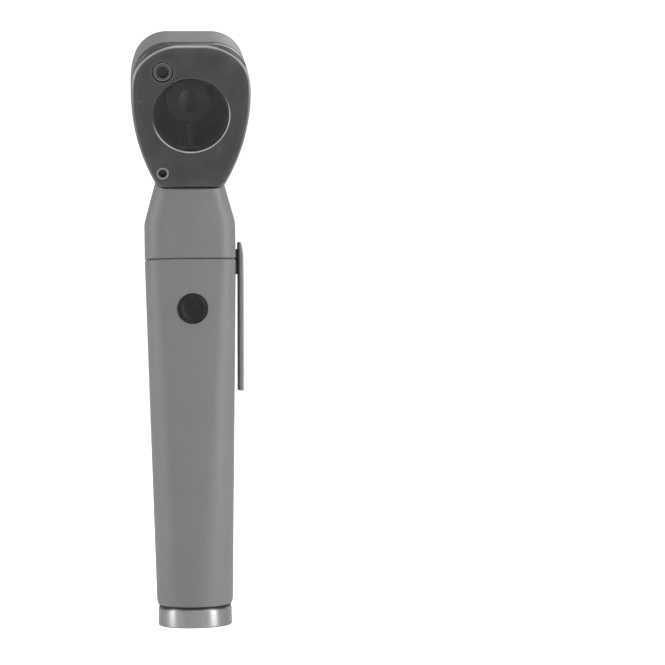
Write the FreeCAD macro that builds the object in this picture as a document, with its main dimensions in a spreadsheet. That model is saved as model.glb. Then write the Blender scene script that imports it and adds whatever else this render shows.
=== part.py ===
import FreeCAD, Part
import math
import os
import Sketcher
from types import SimpleNamespace

# An otoscope: a battery handle with a push button, a pocket clip and a screwed end cap, under a
# tilted head whose rear window swings aside. Row frame: millimetres, +Z up along the handle,
# origin at the middle of the end cap's flat bottom, -Y towards the user, +X the clip's side.

doc = FreeCAD.newDocument("otoscope")
sheet = doc.addObject("Spreadsheet::Sheet", "Sizes")

DRIVING_SIZES = (
    # head, in its own frame: x across, ahead along the line of sight, up the window's face
    ("head_tilt", 22.0, "line of sight above the level, degrees"),
    ("eye_depth", 18.0, "window face behind the handle's axis, at the lens"),
    ("eye_rise", 38.3, "middle of the lens above the seam"),
    ("head_flat", 5.95, "half of the flat along the head's top"),
    ("head_corner", 9.5, "radius of the head's top corners"),
    ("head_shoulder", 21.8, "radius of the head's shoulders, between corners and sides"),
    ("shoulder_turn", 19.2, "angle that each shoulder turns through, degrees"),
    ("head_side", 52.2, "radius of the head's long sides"),
    ("head_foot", 2.2, "radius of the head's lower corners"),
    ("head_top", 19.4, "head's top edge above the lens"),
    ("head_low", 20.5, "head's lower edge below the lens"),
    ("head_deep", 18.0, "window face to the head's front face"),
    ("head_wall", 1.8, "side wall of the head"),
    ("front_wall", 2.0, "front wall of the head"),
    ("front_round", 1.4, "round of the head's front edge"),
    ("head_draft", 0.3, "how much the head draws in all round towards its front"),
    ("ledge_gap", 0.3, "window's lower edge to the neck's ledge"),
    # window
    ("plate_thick", 3.0, "thickness of the window plate"),
    ("plate_round", 1.2, "round of the window plate's face edge"),
    ("plate_gap", 1.0, "window plate to the head's rim"),
    ("lens_radius", 10.3, "radius of the magnifier lens"),
    ("lens_thick", 2.2, "lens thickness at its middle"),
    ("lens_curve", 90.0, "radius of both faces of the lens"),
    ("lens_sunk", 0.35, "lens face below the window's face"),
    ("lens_lip", 0.7, "lip of the lens ring behind the lens"),
    ("ring_wall", 0.3, "wall of the lens ring"),
    ("pivot_side", 7.7, "pivot to the left of the lens"),
    ("pivot_up", 12.1, "pivot above the lens"),
    ("pivot_boss", 3.1, "radius of the pivot's boss"),
    ("pivot_head", 2.7, "radius of the pivot screw's head"),
    ("pivot_head_thick", 1.2, "thickness of the pivot screw's head"),
    ("pivot_drive", 1.7, "radius of the pivot screw's socket"),
    ("pivot_shank", 1.25, "radius of the pivot screw's shank"),
    ("pivot_long", 9.0, "length of the pivot screw under its head"),
    ("bush_wall", 0.35, "wall of the pivot bush"),
    ("detent_down", 16.3, "detent below the lens"),
    ("detent_boss", 2.0, "radius of the detent's boss"),
    ("stud_radius", 1.75, "radius of the detent stud in the window"),
    ("stud_hole", 0.95, "radius of the stud's dimple"),
    ("ball_radius", 0.9, "radius of the detent ball"),
    ("detent_spring_long", 3.6, "length of the detent spring"),
    ("gasket_wide", 1.0, "width of the window gasket"),
    ("gasket_thick", 0.8, "thickness of the window gasket"),
    # speculum holder and what lies on the line of sight
    ("holder_flange", 9.0, "radius of the holder's flange"),
    ("flange_thick", 2.0, "thickness of the holder's flange"),
    ("collar_radius", 5.9, "radius of the collar that a speculum slides on"),
    ("collar_long", 5.5, "length of that collar"),
    ("nose_root", 4.7, "radius of the nose at the collar"),
    ("nose_tip", 3.7, "radius of the nose at its tip"),
    ("nose_long", 9.0, "length of the nose"),
    ("sight_radius", 2.75, "radius of the free line of sight"),
    ("guide_wall", 0.55, "wall of the light guide"),
    ("guide_collar", 5.4, "radius of the light guide's rear collar"),
    ("guide_collar_long", 2.6, "length of that collar"),
    ("spigot_radius", 4.6, "radius of the holder's spigot in the front wall"),
    ("holder_screw_ring", 7.4, "holder screws from the line of sight"),
    ("holder_screw_head", 1.25, "radius of a holder screw's head"),
    ("holder_screw_shank", 0.7, "radius of a holder screw's shank"),
    ("holder_screw_deep", 0.8, "height of a holder screw's head"),
    ("port_side", 8.2, "air port to the left of the line of sight"),
    ("port_down", 9.6, "air port below the line of sight"),
    ("port_flange", 2.1, "radius of the air port's flange"),
    ("port_radius", 1.6, "radius of the air port's nipple"),
    ("port_bore", 0.8, "radius of the air port's bore"),
    ("port_long", 6.0, "length of the air port's nipple"),
    # neck and lamp
    ("seam_gap", 0.15, "gap of that seam"),
    ("seam_chamfer", 0.3, "chamfer on both edges of the seam"),
    ("neck_top_width", 9.8, "half width of the neck under the window"),
    ("neck_top_rise", 20.2, "height above the seam where the neck is that narrow"),
    ("neck_break", 9.0, "straight part of the neck above the seam"),
    ("neck_round", 2.4, "height of the round where the narrowing begins"),
    ("neck_back", 9.36, "half depth of the neck under the window, to the rear"),
    ("neck_reach", 1.75, "how far the neck runs on into the head, as a share of its narrowing"),
    ("spigot_wall", 1.4, "wall of the neck's spigot"),
    ("spigot_long", 4.4, "depth of the neck's spigot in the handle"),
    ("lamp_radius", 4.0, "radius of the lamp's base"),
    ("lamp_base_long", 5.0, "length of the lamp's base"),
    ("bulb_radius", 2.6, "radius of the lamp's bulb"),
    ("bulb_long", 4.4, "length of the lamp's bulb"),
    ("socket_wall", 1.4, "wall of the lamp socket"),
    ("bundle_radius", 1.2, "radius of the fibre bundle"),
    # handle
    ("top_wall", 1.95, "wall of the handle round the neck's spigot, front and rear"),
    ("top_wider", 0.8, "how much more the half width at the seam is than the half depth"),
    ("top_corner", 5.0, "corner radius of the handle at the seam"),
    ("foot_wall", 1.85, "wall of the handle round the end cap's thread"),
    ("foot_chamfer", 0.45, "round of the handle's foot"),
    ("foot_rise", 1.5, "height of that round"),
    ("face_turn", 8.0, "half of the angle that each crowned face turns through, degrees"),
    ("strip_room", 0.45, "room for the contact strip between sleeve and handle"),
    ("handle_low", 5.8, "foot of the handle above the base"),
    # cells and their parts
    ("cell_radius", 7.2, "radius of a cell"),
    ("cell_long", 49.6, "length of a cell without its nub"),
    ("nub_radius", 2.75, "radius of a cell's nub"),
    ("nub_tall", 0.8, "height of a cell's nub"),
    ("cell_low", 8.45, "lower cell above the base"),
    ("cell_rise", 8.2, "upper cell's nub above the seam"),
    ("sleeve_wall", 0.6, "wall of the cell sleeve"),
    ("strip_thick", 0.2, "thickness of the contact strip"),
    ("strip_wide", 3.0, "width of the contact strip"),
    # end cap
    ("cap_inset", 0.35, "how much smaller the end cap is than the handle's foot"),
    ("cap_tall", 5.35, "visible height of the end cap"),
    ("cap_chamfer", 0.6, "chamfer of the end cap's top edge"),
    ("cap_low_chamfer", 0.4, "chamfer of the end cap's bottom edge"),
    ("cap_floor", 1.45, "floor of the end cap"),
    ("thread_wall", 1.2, "wall of the end cap's thread"),
    ("thread_long", 8.8, "length of the end cap's thread"),
    ("ring_radius", 0.2, "radius of the sealing ring's section"),
    ("spring_radius", 5.2, "outer radius of the end cap's spring"),
    ("spring_wire", 0.6, "wire of the end cap's spring"),
    # push button and switch
    ("button_drop", 13.6, "middle of the button below the seam"),
    ("button_radius", 4.12, "radius of the button"),
    ("button_proud", 0.17, "button's face beyond the handle's rear face"),
    ("button_rim", 3.35, "radius of the raised ring on the button"),
    ("rim_wide", 0.5, "width of that ring"),
    ("rim_tall", 0.2, "height of that ring"),
    ("button_flange", 0.65, "flange of the button beyond its side"),
    ("flange_plate", 0.5, "thickness of the button's flange"),
    ("button_travel", 0.6, "travel of the button"),
    ("button_wall", 1.35, "wall of the handle round the button"),
    ("board_thick", 0.8, "thickness of the switch board"),
    ("board_wide", 8.4, "width of the switch board"),
    ("board_long", 13.6, "length of the switch board"),
    ("switch_wide", 6.0, "side of the switch body"),
    ("switch_tall", 0.8, "height of the switch body"),
    ("plunger_radius", 1.1, "radius of the switch plunger"),
    ("dome_thick", 0.15, "thickness of the contact dome"),
    # pocket clip
    ("clip_wide", 7.0, "width of the pocket clip"),
    ("clip_thick", 1.5, "thickness of the pocket clip"),
    ("clip_rise", 4.8, "top of the pocket clip above the seam"),
    ("clip_long", 41.2, "length of the pocket clip"),
    ("clip_slant", 4.0, "height of the slant on the clip's top"),
    ("clip_lean", 0.42, "how much nearer the clip's lower end is than its top"),
    ("pad_thick", 0.65, "thickness of the pad under the clip"),
    ("pad_drop", 4.0, "lower edge of the pad below the seam"),
    ("pad_rise", 2.8, "upper edge of the pad above the seam"),
    ("pad_wide", 5.6, "width of the pad"),
    ("clip_bump", 0.45, "height of the bump inside the clip's lower end"),
    ("clip_screw", 0.8, "radius of a clip screw's shank"),
    ("clip_screw_head", 1.28, "radius of a clip screw's head"),
    ("clip_screw_deep", 0.96, "height of a clip screw's head"),
    # fits
    ("slide_fit", 0.1, "radial clearance of what slides or turns"),
    ("loose_fit", 0.2, "radial clearance of what is only put in"),
    ("tight_fit", 0.05, "radial clearance of what is pressed or screwed in"),
    ("run_on", 1.0, "how far a cutting solid runs on past what it cuts"),
)


class Size:
    """A length or an angle: its number, and the sheet expression that gives that number."""

    def __init__(self, number, text):
        self.number = number
        self.text = text

    def __add__(self, other):
        return Size(self.number + plain(other), f"({self.text} + {text_of(other)})")

    def __radd__(self, other):
        return Size(plain(other) + self.number, f"({text_of(other)} + {self.text})")

    def __sub__(self, other):
        return Size(self.number - plain(other), f"({self.text} - {text_of(other)})")

    def __rsub__(self, other):
        return Size(plain(other) - self.number, f"({text_of(other)} - {self.text})")

    def __mul__(self, other):
        return Size(self.number * plain(other), f"({self.text} * {text_of(other)})")

    def __rmul__(self, other):
        return Size(plain(other) * self.number, f"({text_of(other)} * {self.text})")

    def __truediv__(self, other):
        return Size(self.number / plain(other), f"({self.text} / {text_of(other)})")

    def __neg__(self):
        return Size(-self.number, f"(0 - {self.text})")


def plain(value):
    """The number of a Size, or a plain number as it is."""
    return value.number if isinstance(value, Size) else float(value)


def text_of(value):
    """The expression of a Size, or of a plain number."""
    return value.text if isinstance(value, Size) else f"{float(value):.6f}"


def sine(angle):
    """The sine of an angle in degrees, as a Size."""
    return Size(math.sin(math.radians(angle.number)), f"sin({angle.text} * 1deg)")


def cosine(angle):
    """The cosine of an angle in degrees, as a Size."""
    return Size(math.cos(math.radians(angle.number)), f"cos({angle.text} * 1deg)")


d = SimpleNamespace()
for row, (alias, value, note) in enumerate(DRIVING_SIZES, start=1):
    sheet.set(f"A{row}", note)
    sheet.set(f"B{row}", str(value))
    sheet.setAlias(f"B{row}", alias)
    setattr(d, alias, Size(value, f"Sizes.{alias}"))
doc.recompute()

# The cells set the handle's length, and the seam sets the heights of what is near it.
cell_top = d.cell_low + 2 * (d.cell_long + d.nub_tall)
seam_height = cell_top - d.cell_rise
eye_height = seam_height + d.eye_rise
neck_top_height = seam_height + d.neck_top_rise
button_height = seam_height - d.button_drop
clip_top = seam_height + d.clip_rise
clip_low = clip_top - d.clip_long
pad_low = seam_height - d.pad_drop
pad_top = seam_height + d.pad_rise

# The cells set the handle's girth as well, from its bore to its outside.
sleeve_bore = d.cell_radius + d.slide_fit + d.tight_fit
sleeve_radius = sleeve_bore + d.sleeve_wall
bore_radius = sleeve_radius + d.strip_room
thread_radius = d.cell_radius + d.loose_fit + d.thread_wall
foot_radius = thread_radius + d.slide_fit + d.foot_wall
cap_radius = foot_radius - d.cap_inset
top_depth = bore_radius + d.spigot_wall + d.top_wall
top_width = top_depth + d.top_wider

# A way is an axis and an angle that turn an object's own +Z to the direction that it names.
UP = ((0, 0, 1), 0.0)
BACK = ((1, 0, 0), 90.0)
FRONT = ((-1, 0, 0), 90.0)
SIDE = ((0, 1, 0), 90.0)
WITH_HEAD = ((1, 0, 0), d.head_tilt)
AHEAD = ((-1, 0, 0), 90.0 - d.head_tilt)
ORIGIN = (0.0, 0.0, 0.0)

sub_parts = {}


def on_head(across, ahead, up):
    """The point of the row frame that lies at (across, ahead, up) in the head's frame."""
    y = ahead * cosine(d.head_tilt) - up * sine(d.head_tilt) - d.eye_depth
    z = ahead * sine(d.head_tilt) + up * cosine(d.head_tilt) + eye_height
    return (across, y, z)


def place(item, at, way):
    """Put an object at a point and turn it to a way, both bound to the sheet."""
    axis, angle = way
    spot = FreeCAD.Vector(*[plain(value) for value in at])
    item.Placement = FreeCAD.Placement(spot, FreeCAD.Rotation(FreeCAD.Vector(*axis), plain(angle)))
    for letter, value in zip("xyz", at):
        if isinstance(value, Size):
            item.setExpression(f".Placement.Base.{letter}", value.text)
    if isinstance(angle, Size):
        item.setExpression(".Placement.Rotation.Angle", angle.text)
    return item


def bind(item, **sizes):
    """Give an object's properties their values, bound to the sheet where they are Sizes."""
    for name, value in sizes.items():
        setattr(item, name, plain(value))
        if isinstance(value, Size):
            item.setExpression(name, value.text)
    return item


def rod(name, radius, long, at=ORIGIN, way=UP):
    """A cylinder that starts at a point and runs along a way."""
    item = doc.addObject("Part::Cylinder", name)
    bind(item, Radius=radius, Height=long)
    return place(item, at, way)


def ball(name, radius, at):
    """A sphere round a point."""
    item = doc.addObject("Part::Sphere", name)
    bind(item, Radius=radius)
    return place(item, at, UP)


def block(name, long, wide, tall, at=ORIGIN, way=UP):
    """A box with one corner at a point."""
    item = doc.addObject("Part::Box", name)
    bind(item, Length=long, Width=wide, Height=tall)
    return place(item, at, way)


def fused(name, *pieces):
    """Several objects joined into one."""
    item = doc.addObject("Part::MultiFuse", name)
    item.Shapes = list(pieces)
    return item


def shared(name, *pieces):
    """What several objects have in common."""
    item = doc.addObject("Part::MultiCommon", name)
    item.Shapes = list(pieces)
    return item


def cut(name, base, *tools):
    """An object less one or more others."""
    item = doc.addObject("Part::Cut", name)
    item.Base = base
    item.Tool = tools[0] if len(tools) == 1 else fused(f"{name}Tools", *tools)
    return item


def group(name, *pieces):
    """Like pieces kept as separate solids of one node."""
    item = doc.addObject("Part::Compound", name)
    item.Links = list(pieces)
    return item


def shaped(name, shape, at=ORIGIN, way=UP):
    """A feature whose shape is worked out here, for outlines that no primitive gives."""
    item = doc.addObject("Part::Feature", name)
    item.Shape = shape
    return place(item, at, way)


def sketched(name, profile):
    """A new body and a closed sketch of straight lines on its XZ plane, held corner by corner."""
    body = doc.addObject("PartDesign::Body", name)
    plane = next(item for item in body.Origin.OriginFeatures if item.Role == "XZ_Plane")
    sketch = body.newObject("Sketcher::SketchObject", f"{name}Profile")
    sketch.AttachmentSupport = [(plane, "")]
    sketch.MapMode = "FlatFace"
    corners = [FreeCAD.Vector(plain(radius), plain(height), 0) for radius, height in profile]
    count = len(corners)
    for place_in_row, corner in enumerate(corners):
        following = corners[(place_in_row + 1) % count]
        sketch.addGeometry(Part.LineSegment(corner, following), False)
    for line in range(count):
        sketch.addConstraint(Sketcher.Constraint("Coincident", line, 2, (line + 1) % count, 1))
    for line, (radius, height) in enumerate(profile):
        hold(sketch, line, "DistanceX", radius, -2)
        hold(sketch, line, "DistanceY", height, -1)
    return body, sketch


def turned(name, profile, at=ORIGIN, way=UP):
    """A body turned about its own +Z from a closed profile of (radius, height) corners."""
    body, sketch = sketched(name, profile)
    turn = body.newObject("PartDesign::Revolution", f"{name}Turn")
    turn.Profile = sketch
    turn.ReferenceAxis = (sketch, ["V_Axis"])
    turn.Angle = 360.0
    return place(body, at, way)


def slab(name, profile, wide):
    """A body padded both ways along Y from a closed profile of (across, height) corners."""
    body, sketch = sketched(name, profile)
    pad = body.newObject("PartDesign::Pad", f"{name}Pad")
    pad.Profile = sketch
    pad.SideType = "Symmetric"
    bind(pad, Length=wide)
    return body


def hold(sketch, line, kind, value, axis):
    """Hold the start of a line at a distance from an axis, or on the axis where that is zero."""
    if plain(value) == 0.0:
        sketch.addConstraint(Sketcher.Constraint("PointOnObject", line, 1, axis))
        return
    index = sketch.addConstraint(Sketcher.Constraint(kind, -1, 1, line, 1, plain(value)))
    if isinstance(value, Size):
        sketch.setExpression(f"Constraints[{index}]", value.text)


def keep(name, item):
    """Name an object as one of the sub-parts."""
    item.Label = name
    sub_parts[name] = item
    return item


# ---- outlines that are made of tangent arcs ----

def arc(centre, radius, start, end):
    """An arc in the XZ plane between two angles in radians."""
    points = []
    for angle in (start, (start + end) / 2, end):
        across = centre[0] + radius * math.cos(angle)
        points.append(FreeCAD.Vector(across, 0, centre[1] + radius * math.sin(angle)))
    return Part.Arc(*points).toShape()


def head_outline(inset):
    """The head's outline drawn in by inset: flat top, corners, shoulders, long sides, small feet."""
    turn = math.radians(d.shoulder_turn.number)
    step = d.head_corner.number - d.head_shoulder.number
    corner = (d.head_flat.number, d.head_top.number - d.head_corner.number)
    shoulder = (corner[0] + step * math.cos(turn), corner[1] + step * math.sin(turn))
    side = (shoulder[0] + d.head_shoulder.number - d.head_side.number, shoulder[1])
    foot_height = d.head_foot.number - d.head_low.number
    drop = side[1] - foot_height
    reach = math.sqrt((d.head_side.number - d.head_foot.number) ** 2 - drop ** 2)
    foot = (side[0] + reach, foot_height)
    lean = math.atan2(-drop, reach)
    arcs = (
        (corner, d.head_corner.number - inset, math.pi / 2, turn),
        (shoulder, d.head_shoulder.number - inset, turn, 0.0),
        (side, d.head_side.number - inset, 0.0, lean),
        (foot, d.head_foot.number - inset, lean, -math.pi / 2),
    )
    edges = []
    for centre, radius, start, end in arcs:
        edges.append(arc(centre, radius, start, end))
        mirrored = (-centre[0], centre[1])
        edges.append(arc(mirrored, radius, math.pi - start, math.pi - end))
    for half, height in ((corner[0], d.head_top.number - inset), (foot[0], inset - d.head_low.number)):
        ends = FreeCAD.Vector(-half, 0, height), FreeCAD.Vector(half, 0, height)
        edges.append(Part.makeLine(*ends))
    return Part.Wire(Part.__sortEdges__(edges))


def head_outline_at(inset, ahead):
    """That outline, ahead of the window's face."""
    outline = head_outline(inset)
    outline.translate(FreeCAD.Vector(0, plain(ahead), 0))
    return outline


def head_prism(inset, start, end):
    """The outline drawn in by inset and carried ahead from start to end."""
    face = Part.Face(head_outline(plain(inset)))
    face.translate(FreeCAD.Vector(0, plain(start), 0))
    return face.extrude(FreeCAD.Vector(0, plain(end) - plain(start), 0))


def rounded_at(shape, ahead, radius):
    """A prism with the edges of one of its ends rounded."""
    reach = 1e-4
    edges = [edge for edge in shape.Edges
             if abs(edge.BoundBox.YMin - plain(ahead)) < reach
             and abs(edge.BoundBox.YMax - plain(ahead)) < reach]
    return shape.makeFillet(plain(radius), edges)


def crowned_section(half_width, half_depth, corner, height, shift=0.0):
    """A closed section of eight tangent arcs: four crowned faces and four corners."""
    turn = math.radians(d.face_turn.number)
    slope, fall = math.sin(turn), 1 - math.cos(turn)
    width = half_width - corner * (math.cos(turn) - slope)
    depth = half_depth - corner * (math.cos(turn) - slope)
    scale = slope * slope - fall * fall
    end_face = (width * slope - depth * fall) / scale
    side_face = (depth * slope - width * fall) / scale
    corner_x = half_width - side_face + (side_face - corner) * math.cos(turn)
    corner_y = half_depth - end_face + (end_face - corner) * math.cos(turn)
    quarter = math.pi / 2
    edges = []
    for across, along in ((1, 1), (-1, 1), (-1, -1), (1, -1)):
        spots = (
            ((corner_x, corner_y), corner, turn, quarter - turn),
            ((0.0, half_depth - end_face), end_face, quarter - turn, quarter),
            ((half_width - side_face, 0.0), side_face, 0.0, turn),
        )
        for (x, y), radius, start, end in spots:
            points = []
            for angle in (start, (start + end) / 2, end):
                spot_x = across * (x + radius * math.cos(angle))
                spot_y = along * (y + radius * math.sin(angle)) + shift
                points.append(FreeCAD.Vector(spot_x, spot_y, height))
            edges.append(Part.Arc(*points).toShape())
    return Part.Wire(Part.__sortEdges__(edges))


# ---- head shell and neck: one moulding ----

spot_height = seam_height + d.seam_gap / 2
neck_straight = spot_height + d.neck_break
neck_long = neck_top_height - neck_straight
rim_ahead = d.plate_thick + d.plate_gap
cavity_end = d.head_deep - d.front_wall
neck_bore = d.cell_radius + 2 * d.loose_fit
socket_radius = d.lamp_radius + d.tight_fit + d.socket_wall
lamp_low = cell_top + d.cap_floor
screw_height = pad_low + 2 * d.clip_screw


def straight_share(height_share, eased):
    """The share of the narrowing done at a height on its straight stretch."""
    return (height_share - 0.5 * eased) / (1 - 0.5 * eased)


def neck_loft():
    """The neck: straight above the seam, then drawn in towards the head's lower wall."""
    wide, deep, corner = top_width.number, top_depth.number, d.top_corner.number
    narrow = d.neck_top_width.number
    start, chamfer = spot_height.number, d.seam_chamfer.number
    lower = Part.makeLoft([
        crowned_section(wide - chamfer, deep - chamfer, corner - chamfer, start),
        crowned_section(wide, deep, corner, start + chamfer),
        crowned_section(wide, deep, corner, neck_straight.number),
    ], True, True)
    # the narrowing begins in a round of neck_round height, then goes on straight
    eased = d.neck_round.number / neck_long.number
    steps = 6
    stations = [(eased * step / steps, 0.5 * eased * (step / steps) ** 2 / (1 - 0.5 * eased))
                for step in range(steps + 1)]
    stations += [(1.0, 1.0), (d.neck_reach.number, straight_share(d.neck_reach.number, eased))]
    back_shift = deep - d.neck_back.number
    sections = []
    for share, done in stations:
        height = neck_straight.number + share * neck_long.number
        sections.append(crowned_section(
            wide - done * (wide - narrow), deep - done * back_shift, corner,
            height, -0.5 * done * back_shift))
    upper = Part.makeLoft(sections, True, True)
    return lower.fuse(upper)


head_drawn = Part.makeLoft([head_outline_at(0, rim_ahead),
                            head_outline_at(d.head_draft.number, d.head_deep)], True, True)
head_block = shaped("HeadBlock", rounded_at(head_drawn, d.head_deep, d.front_round),
                    on_head(0, 0, 0), WITH_HEAD)
neck_block = shaped("NeckBlock", neck_loft())
plate_room = block("PlateRoom", 4 * d.head_flat + 2 * d.head_side, d.eye_depth, 4 * d.head_top,
                   on_head(-2 * d.head_flat - d.head_side, rim_ahead - d.eye_depth,
                           -d.head_low - d.ledge_gap), WITH_HEAD)
neck_spigot = rod("NeckSpigot", bore_radius + d.spigot_wall - d.loose_fit,
                  d.spigot_long + d.seam_chamfer + d.run_on,
                  (0, 0, spot_height - d.spigot_long))
head_body = fused("HeadBody", head_block, cut("NeckTrimmed", neck_block, plate_room), neck_spigot)
head_room = shaped("HeadRoom", head_prism(d.head_wall, rim_ahead - d.run_on, cavity_end),
                   on_head(0, 0, 0), WITH_HEAD)
cell_room = rod("CellRoom", neck_bore, cell_top + d.nub_tall - spot_height + d.spigot_long + d.run_on,
                (0, 0, spot_height - d.spigot_long - d.run_on))
lamp_room_top = lamp_low + d.lamp_base_long + d.bulb_long + d.loose_fit
lamp_room = rod("LampRoom", socket_radius + d.tight_fit, lamp_room_top - cell_top,
                (0, 0, cell_top))
floor_up = d.head_wall - d.head_low
floor_ahead = (d.eye_depth + floor_up * sine(d.head_tilt)) / cosine(d.head_tilt)
bundle_knee = on_head(0, floor_ahead, floor_up)[2]
bundle_room = rod("BundleRoom", d.bundle_radius + d.loose_fit,
                  bundle_knee + d.front_wall - cell_top, (0, 0, cell_top))
pivot_post = rod("PivotPost", d.pivot_boss, cavity_end - rim_ahead,
                 on_head(-d.pivot_side, rim_ahead, d.pivot_up), AHEAD)
detent_post = rod("DetentPost", d.detent_boss, cavity_end - rim_ahead,
                  on_head(-d.pivot_side, rim_ahead, -d.detent_down), AHEAD)
pivot_hole = rod("PivotHole", d.pivot_shank + d.tight_fit, d.pivot_long + d.run_on,
                 on_head(-d.pivot_side, rim_ahead - d.run_on, d.pivot_up), AHEAD)
detent_hole_long = 2 * d.ball_radius + d.detent_spring_long + d.loose_fit
detent_hole = rod("DetentHole", d.ball_radius + d.tight_fit, detent_hole_long + d.run_on,
                  on_head(-d.pivot_side, rim_ahead - d.run_on, -d.detent_down), AHEAD)
holder_hole = rod("HolderHole", d.spigot_radius + d.tight_fit, 3 * d.front_wall,
                  on_head(0, cavity_end - d.front_wall, 0), AHEAD)
port_hole = rod("PortHole", d.port_radius, 3 * d.front_wall,
                on_head(-d.port_side, cavity_end - d.front_wall, -d.port_down), AHEAD)


def holder_screw_spots(ahead):
    """Where the three holder screws stand round the line of sight."""
    spots = []
    for degrees in (90.0, 210.0, 330.0):
        turn = math.radians(degrees)
        spots.append(on_head(d.holder_screw_ring * math.cos(turn), ahead,
                             d.holder_screw_ring * math.sin(turn)))
    return spots


neck_screw_pass = rod("NeckScrewPass", d.clip_screw, top_depth,
                      (0, neck_bore - d.spigot_wall, screw_height), FRONT)
screw_holes = [rod("HolderScrewHole", d.holder_screw_shank + d.tight_fit, 2 * d.front_wall, spot,
                   AHEAD) for spot in holder_screw_spots(cavity_end - 0.5 * d.front_wall)]
hollow_head = cut("HollowHead", head_body, head_room, cell_room, lamp_room, bundle_room)
head_with_posts = fused("HeadWithPosts", hollow_head, pivot_post, detent_post)
keep("head_shell", cut("HeadShell", head_with_posts, pivot_hole, detent_hole, holder_hole,
                       port_hole, neck_screw_pass, *screw_holes))


# ---- window: a plate that swings on its pivot, with the magnifier in it ----

lens_bore = d.lens_radius + d.tight_fit + d.ring_wall
bush_radius = d.pivot_shank + d.tight_fit + d.bush_wall
pivot_room = d.pivot_head_thick + d.lens_sunk
plate_blank = shaped("PlateBlank", rounded_at(head_prism(0, 0, d.plate_thick), 0, d.plate_round),
                     on_head(0, 0, 0), WITH_HEAD)
lens_hole = rod("LensHole", lens_bore + d.tight_fit, 3 * d.plate_thick,
                on_head(0, -d.plate_thick, 0), AHEAD)
pivot_turn_hole = rod("PivotTurnHole", bush_radius + d.tight_fit, 3 * d.plate_thick,
                      on_head(-d.pivot_side, -d.plate_thick, d.pivot_up), AHEAD)
pivot_sink = rod("PivotSink", d.pivot_head + d.slide_fit, pivot_room + d.run_on,
                 on_head(-d.pivot_side, -d.run_on, d.pivot_up), AHEAD)
stud_seat = rod("StudSeat", d.stud_radius + d.tight_fit, 3 * d.plate_thick,
                on_head(-d.pivot_side, -d.plate_thick, -d.detent_down), AHEAD)
keep("window_plate", cut("WindowPlate", plate_blank, lens_hole, pivot_turn_hole, pivot_sink,
                         stud_seat))

lens_edge = rod("LensEdge", d.lens_radius, d.lens_thick, on_head(0, d.lens_sunk, 0), AHEAD)
lens_face = ball("LensFace", d.lens_curve, on_head(0, d.lens_sunk + d.lens_curve, 0))
lens_back = ball("LensBack", d.lens_curve,
                 on_head(0, d.lens_sunk + d.lens_thick - d.lens_curve, 0))
keep("magnifier_lens", shared("MagnifierLens", lens_edge, lens_face, lens_back))

lip_ahead = d.lens_sunk + d.lens_thick + d.tight_fit
lip_radius = d.lens_radius - d.lens_lip
keep("lens_ring", turned("LensRing", (
    (d.lens_radius + d.tight_fit, d.lens_sunk),
    (lens_bore, d.lens_sunk),
    (lens_bore, d.plate_thick),
    (lip_radius, d.plate_thick),
    (lip_radius, lip_ahead),
    (d.lens_radius + d.tight_fit, lip_ahead),
), on_head(0, 0, 0), AHEAD))

keep("pivot_screw", turned("PivotScrew", (
    (0.0, d.pivot_head_thick - 0.5 * d.lens_sunk),
    (d.pivot_drive, d.pivot_head_thick - 0.5 * d.lens_sunk),
    (d.pivot_drive, 0.5 * d.lens_sunk),
    (d.pivot_head - d.ring_wall, 0.5 * d.lens_sunk),
    (d.pivot_head, 0.5 * d.lens_sunk + d.ring_wall),
    (d.pivot_head, d.pivot_head_thick + 0.5 * d.lens_sunk),
    (d.pivot_shank, d.pivot_head_thick + 0.5 * d.lens_sunk),
    (d.pivot_shank, d.pivot_head_thick + d.pivot_long),
    (0.0, d.pivot_head_thick + d.pivot_long),
), on_head(-d.pivot_side, 0, d.pivot_up), AHEAD))

bush_start = d.pivot_head_thick + 0.5 * d.lens_sunk + d.tight_fit
bush_long = rim_ahead - bush_start
bush_wall = rod("BushWall", bush_radius, bush_long,
                on_head(-d.pivot_side, bush_start, d.pivot_up), AHEAD)
bush_hole = rod("BushHole", d.pivot_shank + d.tight_fit, 3 * d.plate_thick,
                on_head(-d.pivot_side, 0, d.pivot_up), AHEAD)
keep("pivot_bush", cut("PivotBush", bush_wall, bush_hole))

washer_room = rod("WasherRoom", bush_radius + d.tight_fit, 3 * d.plate_thick,
                  on_head(-d.pivot_side, 0, d.pivot_up), AHEAD)
washer_disc = rod("WasherDisc", d.pivot_boss - d.slide_fit, d.gasket_thick,
                  on_head(-d.pivot_side, rim_ahead - d.gasket_thick, d.pivot_up), AHEAD)
keep("pivot_washer", cut("PivotWasher", washer_disc, washer_room))

stud_rod = rod("StudRod", d.stud_radius, d.plate_thick,
               on_head(-d.pivot_side, 0, -d.detent_down), AHEAD)
stud_dimple = rod("StudDimple", d.stud_hole, 2 * d.stud_hole,
                  on_head(-d.pivot_side, -d.stud_hole, -d.detent_down), AHEAD)
keep("detent_stud", cut("DetentStud", stud_rod, stud_dimple))

keep("detent_ball", ball("DetentBall", d.ball_radius,
                         on_head(-d.pivot_side, rim_ahead + d.ball_radius, -d.detent_down)))
detent_spring_start = rim_ahead + 2 * d.ball_radius
detent_coil = rod("DetentCoil", d.ball_radius, d.detent_spring_long,
                  on_head(-d.pivot_side, detent_spring_start, -d.detent_down), AHEAD)
detent_core = rod("DetentCore", d.ball_radius - d.ring_wall, 3 * d.detent_spring_long,
                  on_head(-d.pivot_side, rim_ahead, -d.detent_down), AHEAD)
keep("detent_spring", cut("DetentSpring", detent_coil, detent_core))

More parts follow.
